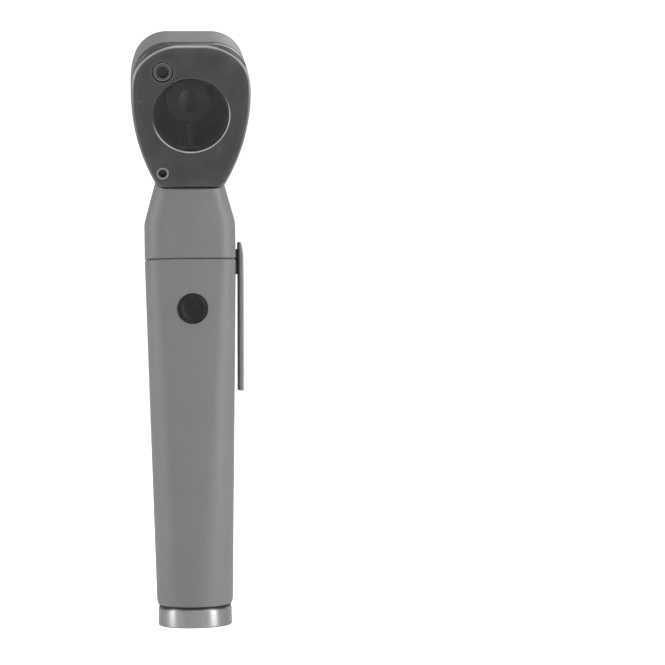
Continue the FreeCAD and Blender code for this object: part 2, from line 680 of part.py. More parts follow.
gasket_start = rim_ahead - d.gasket_thick
gasket_inset = 0.5 * (d.head_wall - d.gasket_wide)
gasket_sheet = shaped("GasketSheet", head_prism(gasket_inset, gasket_start, rim_ahead),
                      on_head(0, 0, 0), WITH_HEAD)
gasket_open = shaped("GasketOpen", head_prism(gasket_inset + d.gasket_wide, gasket_start - d.run_on,
                                              rim_ahead + d.run_on), on_head(0, 0, 0), WITH_HEAD)
keep("window_gasket", cut("WindowGasket", gasket_sheet, gasket_open))


# ---- speculum holder on the front, the light guide in it and the air port beside it ----

guide_radius = d.sight_radius + d.guide_wall
flange_end = d.head_deep + d.flange_thick
collar_end = flange_end + d.collar_long
nose_end = collar_end + d.nose_long
holder_turned = turned("HolderTurned", (
    (guide_radius + d.tight_fit, cavity_end),
    (d.spigot_radius, cavity_end),
    (d.spigot_radius, d.head_deep),
    (d.holder_flange, d.head_deep),
    (d.holder_flange, flange_end - d.cap_chamfer),
    (d.holder_flange - d.cap_chamfer, flange_end),
    (d.collar_radius, flange_end),
    (d.collar_radius, collar_end - d.cap_chamfer),
    (d.collar_radius - d.cap_chamfer, collar_end),
    (d.nose_root, collar_end),
    (d.nose_tip, nose_end),
    (guide_radius + d.tight_fit, nose_end),
), on_head(0, 0, 0), AHEAD)
screw_seats = []
for spot in holder_screw_spots(d.head_deep - d.run_on):
    screw_seats.append(rod("ScrewPass", d.holder_screw_shank + d.tight_fit,
                           d.flange_thick + 2 * d.run_on, spot, AHEAD))
for spot in holder_screw_spots(d.head_deep + 0.5 * d.flange_thick):
    screw_seats.append(rod("ScrewSeat", d.holder_screw_head + d.tight_fit, d.flange_thick, spot,
                           AHEAD))
keep("speculum_holder", cut("SpeculumHolder", holder_turned, *screw_seats))

holder_screws = []
for shank_spot, head_spot in zip(holder_screw_spots(cavity_end),
                                 holder_screw_spots(d.head_deep + 0.5 * d.flange_thick)):
    shank = rod("ScrewShank", d.holder_screw_shank, d.front_wall + 0.75 * d.flange_thick,
                shank_spot, AHEAD)
    head = rod("ScrewHead", d.holder_screw_head, d.holder_screw_deep, head_spot, AHEAD)
    slot_spot = (head_spot[0] - d.holder_screw_head, head_spot[1], head_spot[2])
    slot = block("ScrewSlot", 2 * d.holder_screw_head, 2 * d.front_wall,
                 0.25 * d.holder_screw_head, slot_spot, WITH_HEAD)
    lift = 0.25 * d.flange_thick
    place(slot, (slot_spot[0], slot_spot[1] + lift * cosine(d.head_tilt),
                 slot_spot[2] + lift * sine(d.head_tilt)), WITH_HEAD)
    holder_screws.append(cut("HolderScrew", fused("ScrewBody", shank, head), slot))
keep("holder_screws", group("HolderScrews", *holder_screws))

guide_start = cavity_end - d.guide_collar_long
keep("light_guide", turned("LightGuide", (
    (d.sight_radius, guide_start),
    (d.guide_collar, guide_start),
    (d.guide_collar, cavity_end),
    (guide_radius, cavity_end),
    (guide_radius, nose_end),
    (d.sight_radius, nose_end),
), on_head(0, 0, 0), AHEAD))

keep("air_port", turned("AirPort", (
    (d.port_bore, cavity_end),
    (d.port_radius - d.tight_fit, cavity_end),
    (d.port_radius - d.tight_fit, d.head_deep),
    (d.port_flange, d.head_deep),
    (d.port_flange, d.head_deep + d.port_bore),
    (d.port_radius, d.head_deep + d.port_bore),
    (d.port_radius, d.head_deep + d.port_long - 0.5 * d.port_bore),
    (d.port_radius - 0.5 * d.port_bore, d.head_deep + d.port_long),
    (d.port_bore, d.head_deep + d.port_long),
), on_head(-d.port_side, 0, -d.port_down), AHEAD))


# ---- lamp in the neck and the fibre bundle that takes its light forward ----

socket_low = lamp_low - 0.5 * d.cap_floor
socket_top = lamp_low + d.lamp_base_long
socket_rod = rod("SocketRod", socket_radius, socket_top - socket_low, (0, 0, socket_low))
socket_bore = rod("SocketBore", d.lamp_radius + d.tight_fit, 3 * d.lamp_base_long,
                  (0, 0, lamp_low))
socket_pass = rod("SocketPass", d.nub_radius, 3 * d.lamp_base_long,
                  (0, 0, socket_low - d.lamp_base_long))
keep("lamp_socket", cut("LampSocket", socket_rod, socket_bore, socket_pass))

keep("lamp_contact", turned("LampContact", (
    (0.0, cell_top),
    (d.nub_radius - d.loose_fit, cell_top),
    (d.nub_radius - d.loose_fit, lamp_low),
    (0.0, lamp_low),
)))

keep("lamp_base", turned("LampBase", (
    (0.0, lamp_low),
    (d.lamp_radius, lamp_low),
    (d.lamp_radius, socket_top - d.cap_chamfer),
    (d.lamp_radius - d.cap_chamfer, socket_top),
    (0.0, socket_top),
)))

bulb_rod = rod("BulbRod", d.bulb_radius, d.bulb_long - d.bulb_radius, (0, 0, socket_top))
bulb_dome = ball("BulbDome", d.bulb_radius, (0, 0, socket_top + d.bulb_long - d.bulb_radius))
bulb_half = rod("BulbHalf", 2 * d.bulb_radius, d.bulb_long, (0, 0, socket_top))
keep("lamp_bulb", shared("LampBulb", fused("BulbBody", bulb_rod, bulb_dome), bulb_half))

guide_foot = on_head(0, guide_start + 0.5 * d.guide_collar_long, -d.guide_collar)
bundle_low = lamp_room_top + d.loose_fit
bundle_rise = guide_foot[2] - bundle_knee
bundle_angle = math.degrees(math.atan2(-plain(guide_foot[1]), plain(bundle_rise)))
bundle_run = math.hypot(plain(guide_foot[1]), plain(bundle_rise))
bundle_first = rod("BundleFirst", d.bundle_radius, bundle_knee - bundle_low, (0, 0, bundle_low))
bundle_knuckle = ball("BundleKnuckle", d.bundle_radius, (0, 0, bundle_knee))
bundle_second = rod("BundleSecond", d.bundle_radius, bundle_run, (0, 0, bundle_knee),
                    ((1, 0, 0), bundle_angle))
bundle_trim = rod("BundleTrim", d.guide_collar, 3 * d.guide_collar_long,
                  on_head(0, guide_start - d.guide_collar_long, 0), AHEAD)
keep("fibre_bundle", cut("FibreBundle", fused("BundleBody", bundle_first, bundle_knuckle,
                                              bundle_second), bundle_trim))


# ---- handle shell ----

handle_top = seam_height - d.seam_gap / 2
foot_line = d.handle_low + d.foot_rise
top_line = handle_top - d.seam_chamfer
spigot_foot = spot_height - d.spigot_long


def along_handle(foot, top, height):
    """A size that grows straight from the handle's foot to its top, at one height."""
    return foot + (top - foot) * (height - foot_line) / (top_line - foot_line)


def handle_loft():
    """The handle's outside: a round foot that becomes a crowned oblong section at the seam."""
    foot = foot_radius.number
    small = foot - d.foot_chamfer.number
    middle = foot - 0.3 * d.foot_chamfer.number
    chamfer = d.seam_chamfer.number
    wide, deep, corner = top_width.number, top_depth.number, d.top_corner.number
    return Part.makeLoft([
        crowned_section(small, small, small, d.handle_low.number),
        crowned_section(middle, middle, middle, d.handle_low.number + 0.4 * d.foot_rise.number),
        crowned_section(foot, foot, foot, foot_line.number),
        crowned_section(wide, deep, corner, top_line.number),
        crowned_section(wide - chamfer, deep - chamfer, corner - chamfer, handle_top.number),
    ], True, True)


rear = along_handle(foot_radius, top_depth, button_height)
pocket_depth = rear - d.button_wall
pocket_half = d.button_radius + d.button_flange + d.loose_fit
pocket_rise = 0.5 * d.board_long + d.loose_fit
thread_end = d.cap_tall + d.thread_long
screw_gap = 2 * d.clip_screw
socket_radius_top = bore_radius + d.spigot_wall
clip_head_start = socket_radius_top + d.slide_fit
clip_head_end = clip_head_start + d.clip_screw_deep

handle_block = shaped("HandleBlock", handle_loft())
handle_bore = rod("HandleBore", bore_radius, 2 * seam_height, (0, 0, 0))
thread_bore = rod("ThreadBore", thread_radius + d.slide_fit, thread_end + d.loose_fit,
                  (0, 0, 0))
spigot_socket = rod("SpigotSocket", socket_radius_top, 2 * d.spigot_long,
                    (0, 0, spigot_foot - d.loose_fit))
button_hole = rod("ButtonHole", d.button_radius + d.slide_fit, bore_radius,
                  (0, -d.cell_radius, button_height), BACK)
switch_pocket = block("SwitchPocket", 2 * pocket_half, pocket_depth, 2 * pocket_rise,
                      (-pocket_half, -pocket_depth, button_height - pocket_rise))
clip_holes = []
for across in (-screw_gap, screw_gap):
    clip_holes.append(rod("ClipHole", d.clip_screw + d.tight_fit, bore_radius,
                          (bore_radius, across, screw_height), SIDE))
    clip_holes.append(rod("ClipHeadHole", d.clip_screw_head + d.tight_fit,
                          clip_head_end - bore_radius + d.tight_fit,
                          (bore_radius, across, screw_height), SIDE))
neck_screw_hole = rod("NeckScrewHole", d.clip_screw + d.tight_fit, top_depth,
                      (0, bore_radius, screw_height), FRONT)
front = along_handle(foot_radius, top_depth, screw_height)
neck_screw_start = front - d.clip_screw_deep
neck_head_hole = rod("NeckHeadHole", d.clip_screw_head + d.tight_fit, top_depth,
                     (0, neck_screw_start, screw_height), FRONT)
keep("handle_shell", cut("HandleShell", handle_block, handle_bore, thread_bore, spigot_socket,
                         button_hole, switch_pocket, neck_screw_hole, neck_head_hole,
                         *clip_holes))

neck_screw_end = neck_bore + d.loose_fit
neck_screw_body = turned("NeckScrewBody", (
    (0.0, neck_screw_end),
    (d.clip_screw, neck_screw_end),
    (d.clip_screw, neck_screw_start),
    (d.clip_screw_head, neck_screw_start),
    (d.clip_screw_head, front - d.loose_fit),
    (0.0, front - d.loose_fit),
), (0, 0, screw_height), FRONT)
neck_screw_slot = block("NeckScrewSlot", 2 * top_width, d.clip_screw, 0.5 * d.clip_screw,
                        (-top_width, front - 2 * d.loose_fit,
                         screw_height - 0.25 * d.clip_screw))
keep("neck_screw", cut("NeckScrew", neck_screw_body, neck_screw_slot))


# ---- cells, their sleeve and contacts ----

for name, low in (("battery_lower", d.cell_low),
                  ("battery_upper", d.cell_low + d.cell_long + d.nub_tall)):
    shoulder = low + d.cell_long
    keep(name, turned(name.title().replace("_", ""), (
        (0.0, low),
        (d.cell_radius - d.cap_low_chamfer, low),
        (d.cell_radius, low + d.cap_low_chamfer),
        (d.cell_radius, shoulder - d.cap_low_chamfer),
        (d.cell_radius - d.cap_low_chamfer, shoulder),
        (d.nub_radius, shoulder),
        (d.nub_radius, shoulder + d.nub_tall),
        (0.0, shoulder + d.nub_tall),
    )))

sleeve_low = thread_end + 2 * d.loose_fit
sleeve_top = spigot_foot - 2 * d.loose_fit
sleeve_tube = turned("SleeveTube", (
    (sleeve_bore, sleeve_low),
    (sleeve_radius, sleeve_low),
    (sleeve_radius, sleeve_top),
    (sleeve_bore, sleeve_top),
))
window_half = 0.5 * d.board_wide + d.loose_fit
sleeve_window = block("SleeveWindow", 2 * window_half, 2 * sleeve_radius, 2 * pocket_rise,
                      (-window_half, -2 * sleeve_radius, button_height - pocket_rise))
keep("battery_sleeve", cut("BatterySleeve", sleeve_tube, sleeve_window))

keep("contact_strip", block("ContactStrip", d.strip_wide, d.strip_thick, sleeve_top - sleeve_low,
                            (-0.5 * d.strip_wide, sleeve_radius + d.tight_fit, sleeve_low)))


# ---- end cap: turns on its thread and travels down as it is unscrewed ----

cap_bore = d.cell_radius + d.loose_fit
keep("end_cap", turned("EndCap", (
    (0.0, 0.0),
    (cap_radius - d.cap_low_chamfer, 0.0),
    (cap_radius, d.cap_low_chamfer),
    (cap_radius, d.cap_tall - d.cap_chamfer),
    (cap_radius - d.cap_chamfer, d.cap_tall),
    (thread_radius, d.cap_tall),
    (thread_radius, thread_end),
    (cap_bore, thread_end),
    (cap_bore, d.cap_floor),
    (0.0, d.cap_floor),
)))
cap_ring = doc.addObject("Part::Torus", "CapRing")
bind(cap_ring, Radius1=cap_radius - 2 * d.ring_radius, Radius2=d.ring_radius)
place(cap_ring, (0.0, 0.0, d.cap_tall + d.ring_radius), UP)
keep("cap_o_ring", cap_ring)
keep("cap_spring", turned("CapSpring", (
    (d.spring_radius - d.spring_wire, d.cap_floor + d.tight_fit),
    (d.spring_radius, d.cap_floor + d.tight_fit),
    (d.spring_radius, d.cell_low - d.tight_fit),
    (d.spring_radius - d.spring_wire, d.cell_low - d.tight_fit),
)))


# ---- push button and switch ----

flange_back = pocket_depth - d.tight_fit - d.flange_plate
button_face = rear + d.button_proud
inner_rim = d.button_rim - d.rim_wide
keep("button_cap", turned("ButtonCap", (
    (0.0, flange_back),
    (d.button_radius + d.button_flange, flange_back),
    (d.button_radius + d.button_flange, flange_back + d.flange_plate),
    (d.button_radius, flange_back + d.flange_plate),
    (d.button_radius, button_face - d.rim_tall),
    (d.button_radius - d.rim_tall, button_face),
    (d.button_rim, button_face),
    (d.button_rim - 0.25 * d.rim_wide, button_face + d.rim_tall),
    (inner_rim + 0.25 * d.rim_wide, button_face + d.rim_tall),
    (inner_rim, button_face),
    (0.0, button_face),
), (0, 0, button_height), BACK))

board_front = d.cell_radius + d.loose_fit
board_back = board_front + d.board_thick
body_back = board_back + d.switch_tall
keep("switch_board", block("SwitchBoard", d.board_wide, d.board_thick, d.board_long,
                           (-0.5 * d.board_wide, -board_back,
                            button_height - 0.5 * d.board_long)))
switch_block = block("SwitchBlock", d.switch_wide, d.switch_tall, d.switch_wide,
                     (-0.5 * d.switch_wide, -body_back, button_height - 0.5 * d.switch_wide))
switch_bore = rod("SwitchBore", d.plunger_radius + d.slide_fit, 3 * d.switch_tall,
                  (0, d.switch_tall - board_back, button_height), BACK)
keep("switch_body", cut("SwitchBody", switch_block, switch_bore))
keep("contact_dome", rod("ContactDome", d.plunger_radius, d.dome_thick,
                         (0, -board_back, button_height), BACK))
plunger_end = board_back + d.dome_thick + d.button_travel
keep("switch_plunger", rod("SwitchPlunger", d.plunger_radius, flange_back - plunger_end,
                           (0, -plunger_end, button_height), BACK))


# ---- pocket clip ----

clip_inner = top_width + d.pad_thick + d.tight_fit
clip_outer = clip_inner + d.clip_thick
bump_face = clip_inner - d.clip_lean - d.clip_bump
clip_blank = slab("ClipBlank", (
    (clip_inner, clip_top),
    (clip_inner, pad_low),
    (clip_inner - d.clip_lean, clip_low + 6 * d.clip_bump + d.clip_thick),
    (bump_face, clip_low + 4 * d.clip_bump + d.clip_thick),
    (bump_face, clip_low + 2 * d.clip_bump + d.clip_thick),
    (clip_inner - d.clip_lean, clip_low + d.clip_thick),
    (clip_inner, clip_low),
    (clip_inner + 0.5 * d.clip_thick, clip_low),
    (clip_outer - d.clip_lean, clip_low + 2 * d.clip_thick),
    (clip_outer, clip_top - d.clip_slant),
    (clip_inner + 0.3 * d.clip_thick, clip_top),
), d.clip_wide)
screw_rooms = []
for across in (-screw_gap, screw_gap):
    screw_rooms.append(rod("ClipScrewRoom", d.clip_screw + 3 * d.slide_fit, d.clip_thick,
                           (clip_inner - 0.5 * d.clip_thick, across, screw_height), SIDE))
keep("clip_bar", cut("ClipBar", clip_blank, *screw_rooms))

pad_block = block("PadBlock", d.pad_thick, d.pad_wide, pad_top - pad_low,
                  (top_width, -0.5 * d.pad_wide, pad_low))
pad_holes = []
clip_screws = []
for across in (-screw_gap, screw_gap):
    spot = (0, across, screw_height)
    pad_holes.append(rod("PadHole", d.clip_screw + d.tight_fit, 2 * clip_outer, spot, SIDE))
    clip_screws.append(turned("ClipScrew", (
        (0.0, clip_head_start),
        (d.clip_screw_head, clip_head_start),
        (d.clip_screw_head, clip_head_end),
        (d.clip_screw, clip_head_end),
        (d.clip_screw, clip_inner + 0.3 * d.clip_thick),
        (0.0, clip_inner + 0.3 * d.clip_thick),
    ), spot, SIDE))
keep("clip_pad", cut("ClipPad", pad_block, *pad_holes))
keep("clip_screws", group("ClipScrews", *clip_screws))


# ---- check and write ----

doc.recompute()
for item in doc.Objects:
    if "Invalid" in item.State or "Error" in item.State:
        raise RuntimeError(f"{item.Name} failed: {item.State}")
for name, item in sub_parts.items():
    if item.Shape.isNull() or not item.Shape.isValid():
        raise RuntimeError(f"{name} has no valid shape")
os.makedirs("parts", exist_ok=True)
for name, item in sub_parts.items():
    item.Shape.exportStep(f"parts/{name}.step")
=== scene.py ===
import math
import bpy
import bmesh
import numpy as np
from mathutils import Matrix, Vector


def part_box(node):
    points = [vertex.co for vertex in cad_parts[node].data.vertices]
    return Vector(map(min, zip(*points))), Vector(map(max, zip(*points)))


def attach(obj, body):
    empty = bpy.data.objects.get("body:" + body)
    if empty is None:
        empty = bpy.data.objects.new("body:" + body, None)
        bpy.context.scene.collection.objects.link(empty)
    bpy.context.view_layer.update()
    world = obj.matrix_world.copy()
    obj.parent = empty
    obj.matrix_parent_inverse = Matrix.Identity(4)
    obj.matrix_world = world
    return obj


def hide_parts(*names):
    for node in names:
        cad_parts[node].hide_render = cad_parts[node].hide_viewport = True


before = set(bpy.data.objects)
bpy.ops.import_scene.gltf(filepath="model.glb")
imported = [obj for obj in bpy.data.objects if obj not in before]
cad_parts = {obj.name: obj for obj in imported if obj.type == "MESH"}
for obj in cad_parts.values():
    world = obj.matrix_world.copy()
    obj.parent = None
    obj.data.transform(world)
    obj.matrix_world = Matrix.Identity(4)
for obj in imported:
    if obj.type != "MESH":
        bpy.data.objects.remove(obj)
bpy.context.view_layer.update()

# ---- The camera ----
# A long lens, level with the middle of the upright otoscope and a little to its left, turned so
# that the otoscope stands in the left part of the picture, and rolled by less than a degree.
MIDDLE = Vector((0.0, 0.0, 0.08035))
CAMERA_DISTANCE = 0.630
CAMERA_AZIMUTH = math.radians(2.7)
AIM_ASIDE = 0.0393
CAMERA_ROLL = math.radians(-0.84)
LENS_MM = 122.6
SENSOR_MM = 36.0
VIEW_NEAR = 0.01
VIEW_FAR = 20.0

toward = Vector((math.sin(CAMERA_AZIMUTH), math.cos(CAMERA_AZIMUTH), 0.0))
rightward = Vector((toward.y, -toward.x, 0.0))
camera_data = bpy.data.cameras.new("camera")
camera_data.lens = LENS_MM
camera_data.sensor_width = SENSOR_MM
camera_data.clip_start = VIEW_NEAR
camera_data.clip_end = VIEW_FAR
camera = bpy.data.objects.new("camera", camera_data)
camera.location = MIDDLE - CAMERA_DISTANCE * toward
aim = MIDDLE + AIM_ASIDE * rightward - camera.location
camera.rotation_mode = "QUATERNION"
level = aim.to_track_quat("-Z", "Y")
camera.rotation_quaternion = level @ Matrix.Rotation(CAMERA_ROLL, 4, "Z").to_quaternion()
bpy.context.scene.collection.objects.link(camera)
bpy.context.scene.camera = camera
bpy.context.scene.view_settings.view_transform = "Standard"

# ---- The studio ----
# A white paper floor that rolls up into a wall behind the otoscope, a dim room on the other
# sides, and soft lamps: a tall one on each side, a wide one above and a weak one behind.
FLOOR_HALF = 3.0
WALL_START = 1.6
WALL_ROUND = 0.8
WALL_STEPS = 24
PAPER = (0.86, 0.86, 0.86, 1.0)
PAPER_GLOW = 0.70
ROOM_LIGHT = 0.34
LAMPS = (
    ("lamp_left", (-0.95, -0.15, 0.30), 0.35, 1.3, 9.8),
    ("lamp_right", (0.80, -0.50, 0.30), 0.30, 1.3, 12.2),
    ("lamp_above", (0.0, -0.35, 1.35), 1.4, 0.9, 4.8),
    ("lamp_behind", (0.5, 1.1, 0.9), 0.8, 0.8, 3.0),
)


def paper_sweep():
    """A floor at height zero that turns up through a quarter circle into an upright wall."""
    turn = np.linspace(0.0, np.pi / 2, WALL_STEPS)
    along = np.concatenate([[-FLOOR_HALF], WALL_START + WALL_ROUND * np.sin(turn),
                            [WALL_START + WALL_ROUND]])
    high = np.concatenate([[0.0], WALL_ROUND * (1 - np.cos(turn)), [2 * FLOOR_HALF]])
    across = np.array([-FLOOR_HALF, FLOOR_HALF])
    x, y = np.meshgrid(across, along)
    z = np.repeat(high[:, None], 2, axis=1)
    points = np.stack([x, y, z], axis=-1).reshape(-1, 3)
    faces = np.arange(len(along) - 1)[:, None] * 2 + np.array([[0, 1, 3, 2]])
    mesh = bpy.data.meshes.new("paper_sweep")
    mesh.from_pydata(points.tolist(), [], faces.tolist())
    mesh.shade_smooth()
    return mesh


sweep = bpy.data.objects.new("paper_sweep", paper_sweep())
bpy.context.scene.collection.objects.link(sweep)
paper = bpy.data.materials.new("white_paper")
paper.use_nodes = True
paper_shader = paper.node_tree.nodes["Principled BSDF"]
paper_shader.inputs["Base Color"].default_value = PAPER
paper_shader.inputs["Roughness"].default_value = 1.0
paper_shader.inputs["Specular IOR Level"].default_value = 0.0
paper_shader.inputs["Emission Color"].default_value = (1.0, 1.0, 1.0, 1.0)
paper_path = paper.node_tree.nodes.new("ShaderNodeLightPath")
paper_glow = paper.node_tree.nodes.new("ShaderNodeMath")
paper_glow.operation = "MULTIPLY"
paper_glow.inputs[1].default_value = PAPER_GLOW
paper.node_tree.links.new(paper_path.outputs["Is Camera Ray"], paper_glow.inputs[0])
paper.node_tree.links.new(paper_glow.outputs[0], paper_shader.inputs["Emission Strength"])
sweep.data.materials.append(paper)

for lamp_name, lamp_spot, lamp_wide, lamp_tall, lamp_watts in LAMPS:
    lamp_data = bpy.data.lights.new(lamp_name, "AREA")
    lamp_data.shape = "RECTANGLE"
    lamp_data.size = lamp_wide
    lamp_data.size_y = lamp_tall
    lamp_data.energy = lamp_watts
    lamp = bpy.data.objects.new(lamp_name, lamp_data)
    lamp.location = lamp_spot
    lamp.rotation_mode = "QUATERNION"
    lamp.rotation_quaternion = (MIDDLE - Vector(lamp_spot)).to_track_quat("-Z", "Y")
    bpy.context.scene.collection.objects.link(lamp)

# The room is dim for everything but the camera, which sees it as white as the paper.
room = bpy.data.worlds.new("room")
room.use_nodes = True
room_tree = room.node_tree
room_light = room_tree.nodes["Background"]
room_light.inputs["Color"].default_value = (1.0, 1.0, 1.0, 1.0)
room_light.inputs["Strength"].default_value = ROOM_LIGHT
room_white = room_tree.nodes.new("ShaderNodeBackground")
room_path = room_tree.nodes.new("ShaderNodeLightPath")
room_mix = room_tree.nodes.new("ShaderNodeMixShader")
room_tree.links.new(room_path.outputs["Is Camera Ray"], room_mix.inputs["Fac"])
room_tree.links.new(room_light.outputs["Background"], room_mix.inputs[1])
room_tree.links.new(room_white.outputs["Background"], room_mix.inputs[2])
room_tree.links.new(room_mix.outputs["Shader"], room_tree.nodes["World Output"].inputs["Surface"])
bpy.context.scene.world = room

# ---- The handle shell ----
# One moulding of grey plastic, crowned on four sides and drawn in to a round foot. Its skin has
# the fine grain of a spark-eroded mould, and its foot is a little rubbed.
SHELL_GREY = 0.160
SHELL_MOTTLE = 0.05
SHELL_WORN = 1.35
SHELL_ROUGH = 0.43
GRAIN_MM = 0.32
GRAIN_DEEP = 0.000004
FLOW_MM = 9.0
FLOW_DEEP = 0.000016
RUBBED_FULL_MM = 0.5
RUBBED_END_MM = 1.3


class Wire:
    """An output of a shader node. Arithmetic on wires and numbers adds Math nodes."""

    def __init__(self, tree, socket=None):
        self.tree = tree
        self.socket = socket

    def node(self, kind, settings, inputs, output=0):
        """A new node with its settings made first and its inputs after them, as one of its outputs."""
        made = self.tree.nodes.new(kind)
        for key, value in settings.items():
            setattr(made, key, value)
        for key, value in inputs.items():
            if isinstance(value, Wire):
                self.tree.links.new(value.socket, made.inputs[key])
            else:
                made.inputs[key].default_value = value
        return Wire(self.tree, made.outputs[output])

    def math(self, operation, *values):
        """A Math node on these values, in their order."""
        return self.node("ShaderNodeMath", {"operation": operation}, dict(enumerate(values)))

    def __add__(self, other):
        return self.math("ADD", self, other)

    def __radd__(self, other):
        return self.math("ADD", other, self)

    def __sub__(self, other):
        return self.math("SUBTRACT", self, other)

    def __rsub__(self, other):
        return self.math("SUBTRACT", other, self)

    def __mul__(self, other):
        return self.math("MULTIPLY", self, other)

    def __rmul__(self, other):
        return self.math("MULTIPLY", other, self)

    def __abs__(self):
        return self.math("ABSOLUTE", self)

    def root(self):
        return self.math("SQRT", self)

    def least(self, other):
        return self.math("MINIMUM", self, other)

    def most(self, other):
        return self.math("MAXIMUM", self, other)

    def part(self, axis):
        """One of the three numbers of a vector."""
        return self.node("ShaderNodeSeparateXYZ", {}, {0: self}, axis)

    def step(self, low, high):
        """Zero below low, one above high, and smooth between them; falls instead if high is lower."""
        return self.node("ShaderNodeMapRange", {"interpolation_type": "SMOOTHSTEP"},
                         {"Value": self, "From Min": low, "From Max": high})

    def tint(self, first, last):
        """A colour that goes from the first to the last as this value goes from zero to one."""
        ends = [value if isinstance(value, Wire) else colour_of(value) for value in (first, last)]
        return self.node("ShaderNodeMix", {"data_type": "RGBA"}, {0: self, 6: ends[0], 7: ends[1]}, 2)

    def stretched(self, across, along, up):
        """A vector with each of its three numbers multiplied by its own factor."""
        return self.node("ShaderNodeVectorMath", {"operation": "MULTIPLY"},
                         {0: self, 1: (across, along, up)})

    def noise(self, size, detail=2.0, rough=0.5):
        """Soft noise from zero to one, whose spots are about size millimetres wide."""
        return self.node("ShaderNodeTexNoise", {}, {"Vector": self, "Scale": 1.0 / size,
                                                    "Detail": detail, "Roughness": rough})

    def bump(self, deep, under=None):
        """The surface's normal, raised by this value times deep metres, over another bump if given."""
        inputs = {"Height": self, "Distance": deep, "Strength": 1.0}
        if under is not None:
            inputs["Normal"] = under
        return self.node("ShaderNodeBump", {}, inputs)


def colour_of(value):
    """A grey for one number, or a colour for three, with full alpha."""
    three = value if isinstance(value, tuple) else (value, value, value)
    return (*three, 1.0)


def start_finish(name):
    """A new material without nodes, and its object coordinates in millimetres."""
    material = bpy.data.materials.new(name)
    material.use_nodes = True
    material.node_tree.nodes.clear()
    metres = Wire(material.node_tree).node("ShaderNodeTexCoord", {}, {}, "Object")
    return material, metres.stretched(1000.0, 1000.0, 1000.0)


def end_finish(material, wire, inputs):
    """Gives the material a Principled shader with these inputs, and returns the material."""
    shader = wire.node("ShaderNodeBsdfPrincipled", {}, inputs)
    output = wire.tree.nodes.new("ShaderNodeOutputMaterial")
    wire.tree.links.new(shader.socket, output.inputs["Surface"])
    return material


def dress(material, *names):
    """Gives CAD nodes a material in place of the one they came with."""
    for name in names:
        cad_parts[name].data.materials.clear()
        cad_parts[name].data.materials.append(material)


def grained(spot, under=None):
    """The bump of the moulded skin: slow waves where the plastic sank, under a fine grain."""
    flow = spot.noise(FLOW_MM, 1.0).bump(FLOW_DEEP, under)
    return spot.noise(GRAIN_MM, 2.0, 0.6).bump(GRAIN_DEEP, flow)


def shell_colour(spot, rub):
    """The grey of the shell: a faint mottle, a few light scuffs, and a paler tone where rub is one."""
    mottle = spot.noise(14.0, 3.0) * 0.5 + spot.noise(0.45, 2.0) * 0.5
    scuffs = spot.stretched(1.0, 1.0, 0.18).noise(1.1, 4.0, 0.6).step(0.66, 0.80)
    base = mottle.step(0.30, 0.70).tint(SHELL_GREY * (1 - SHELL_MOTTLE), SHELL_GREY * (1 + SHELL_MOTTLE))
    return (scuffs * 0.25).most(rub).tint(base, SHELL_GREY * SHELL_WORN)


def shell_rough(spot, rub):
    """Satin, uneven by a few hundredths, smoother where hands and edges have polished it."""
    return SHELL_ROUGH + spot.noise(0.6, 3.0) * 0.10 + spot.noise(22.0, 2.0) * 0.08 - rub * 0.10


HANDLE_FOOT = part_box("handle_shell")[0][2] * 1000
handle_grey, spot = start_finish("grey_shell_handle")
height = spot.part(2)
edge = height.step(HANDLE_FOOT + RUBBED_END_MM, HANDLE_FOOT + RUBBED_FULL_MM)
rub = edge * spot.noise(0.8, 3.0).step(0.40, 0.62) * 0.6
dress(end_finish(handle_grey, spot, {
    "Base Color": shell_colour(spot, rub), "Roughness": shell_rough(spot, rub),
    "Normal": grained(spot)}), "handle_shell")

# ---- The head shell ----
# The second grey moulding: the hollow head, leaning back on its neck, in one piece with the spigot
# that the handle takes. The same skin outside; inside it is sprayed matt black against glare, and that
# black also stands in for the shade of the hollow.
HEAD_TILT = math.radians(22.0)
EYE_BACK_MM = 18.0
EYE_UP_MM = 139.35
HEAD_TOP_MM = 19.4
HEAD_LOW_MM = 20.5
HEAD_WIDE_MM = 16.13
SIDE_RADIUS_MM = 52.2
SIDE_UP_MM = 5.85
CORNER_TOP_MM = 10.5
CORNER_LOW_MM = 2.2
WALL_INSIDE_MM = 1.0
RIM_FRONT_MM = 3.9
CAVITY_END_MM = 16.4
BLACK_COAT_AND_SHADE = 0.006


def head_frame(spot):
    """Across, ahead along the line of sight and up the window, from the middle of the lens."""
    back = spot.part(1) + EYE_BACK_MM
    high = spot.part(2) - EYE_UP_MM
    ahead = back * math.cos(HEAD_TILT) + high * math.sin(HEAD_TILT)
    up = high * math.cos(HEAD_TILT) - back * math.sin(HEAD_TILT)
    return spot.part(0), ahead, up


def round_corner(first, last, radius):
    """Distance in from two edges that meet in a round corner, from the distance to each of them."""
    one = (radius - first).most(0.0)
    other = (radius - last).most(0.0)
    return radius - (one * one + other * other).root()


def inside_outline(across, up):
    """How far a point lies inside the head's outline, in millimetres, near the outline."""
    aside = abs(across) + (SIDE_RADIUS_MM - HEAD_WIDE_MM)
    rise = up - SIDE_UP_MM
    from_side = SIDE_RADIUS_MM - (aside * aside + rise * rise).root()
    top = round_corner(HEAD_TOP_MM - up, from_side, CORNER_TOP_MM)
    foot = round_corner(up + HEAD_LOW_MM, from_side, CORNER_LOW_MM)
    return top.least(foot)


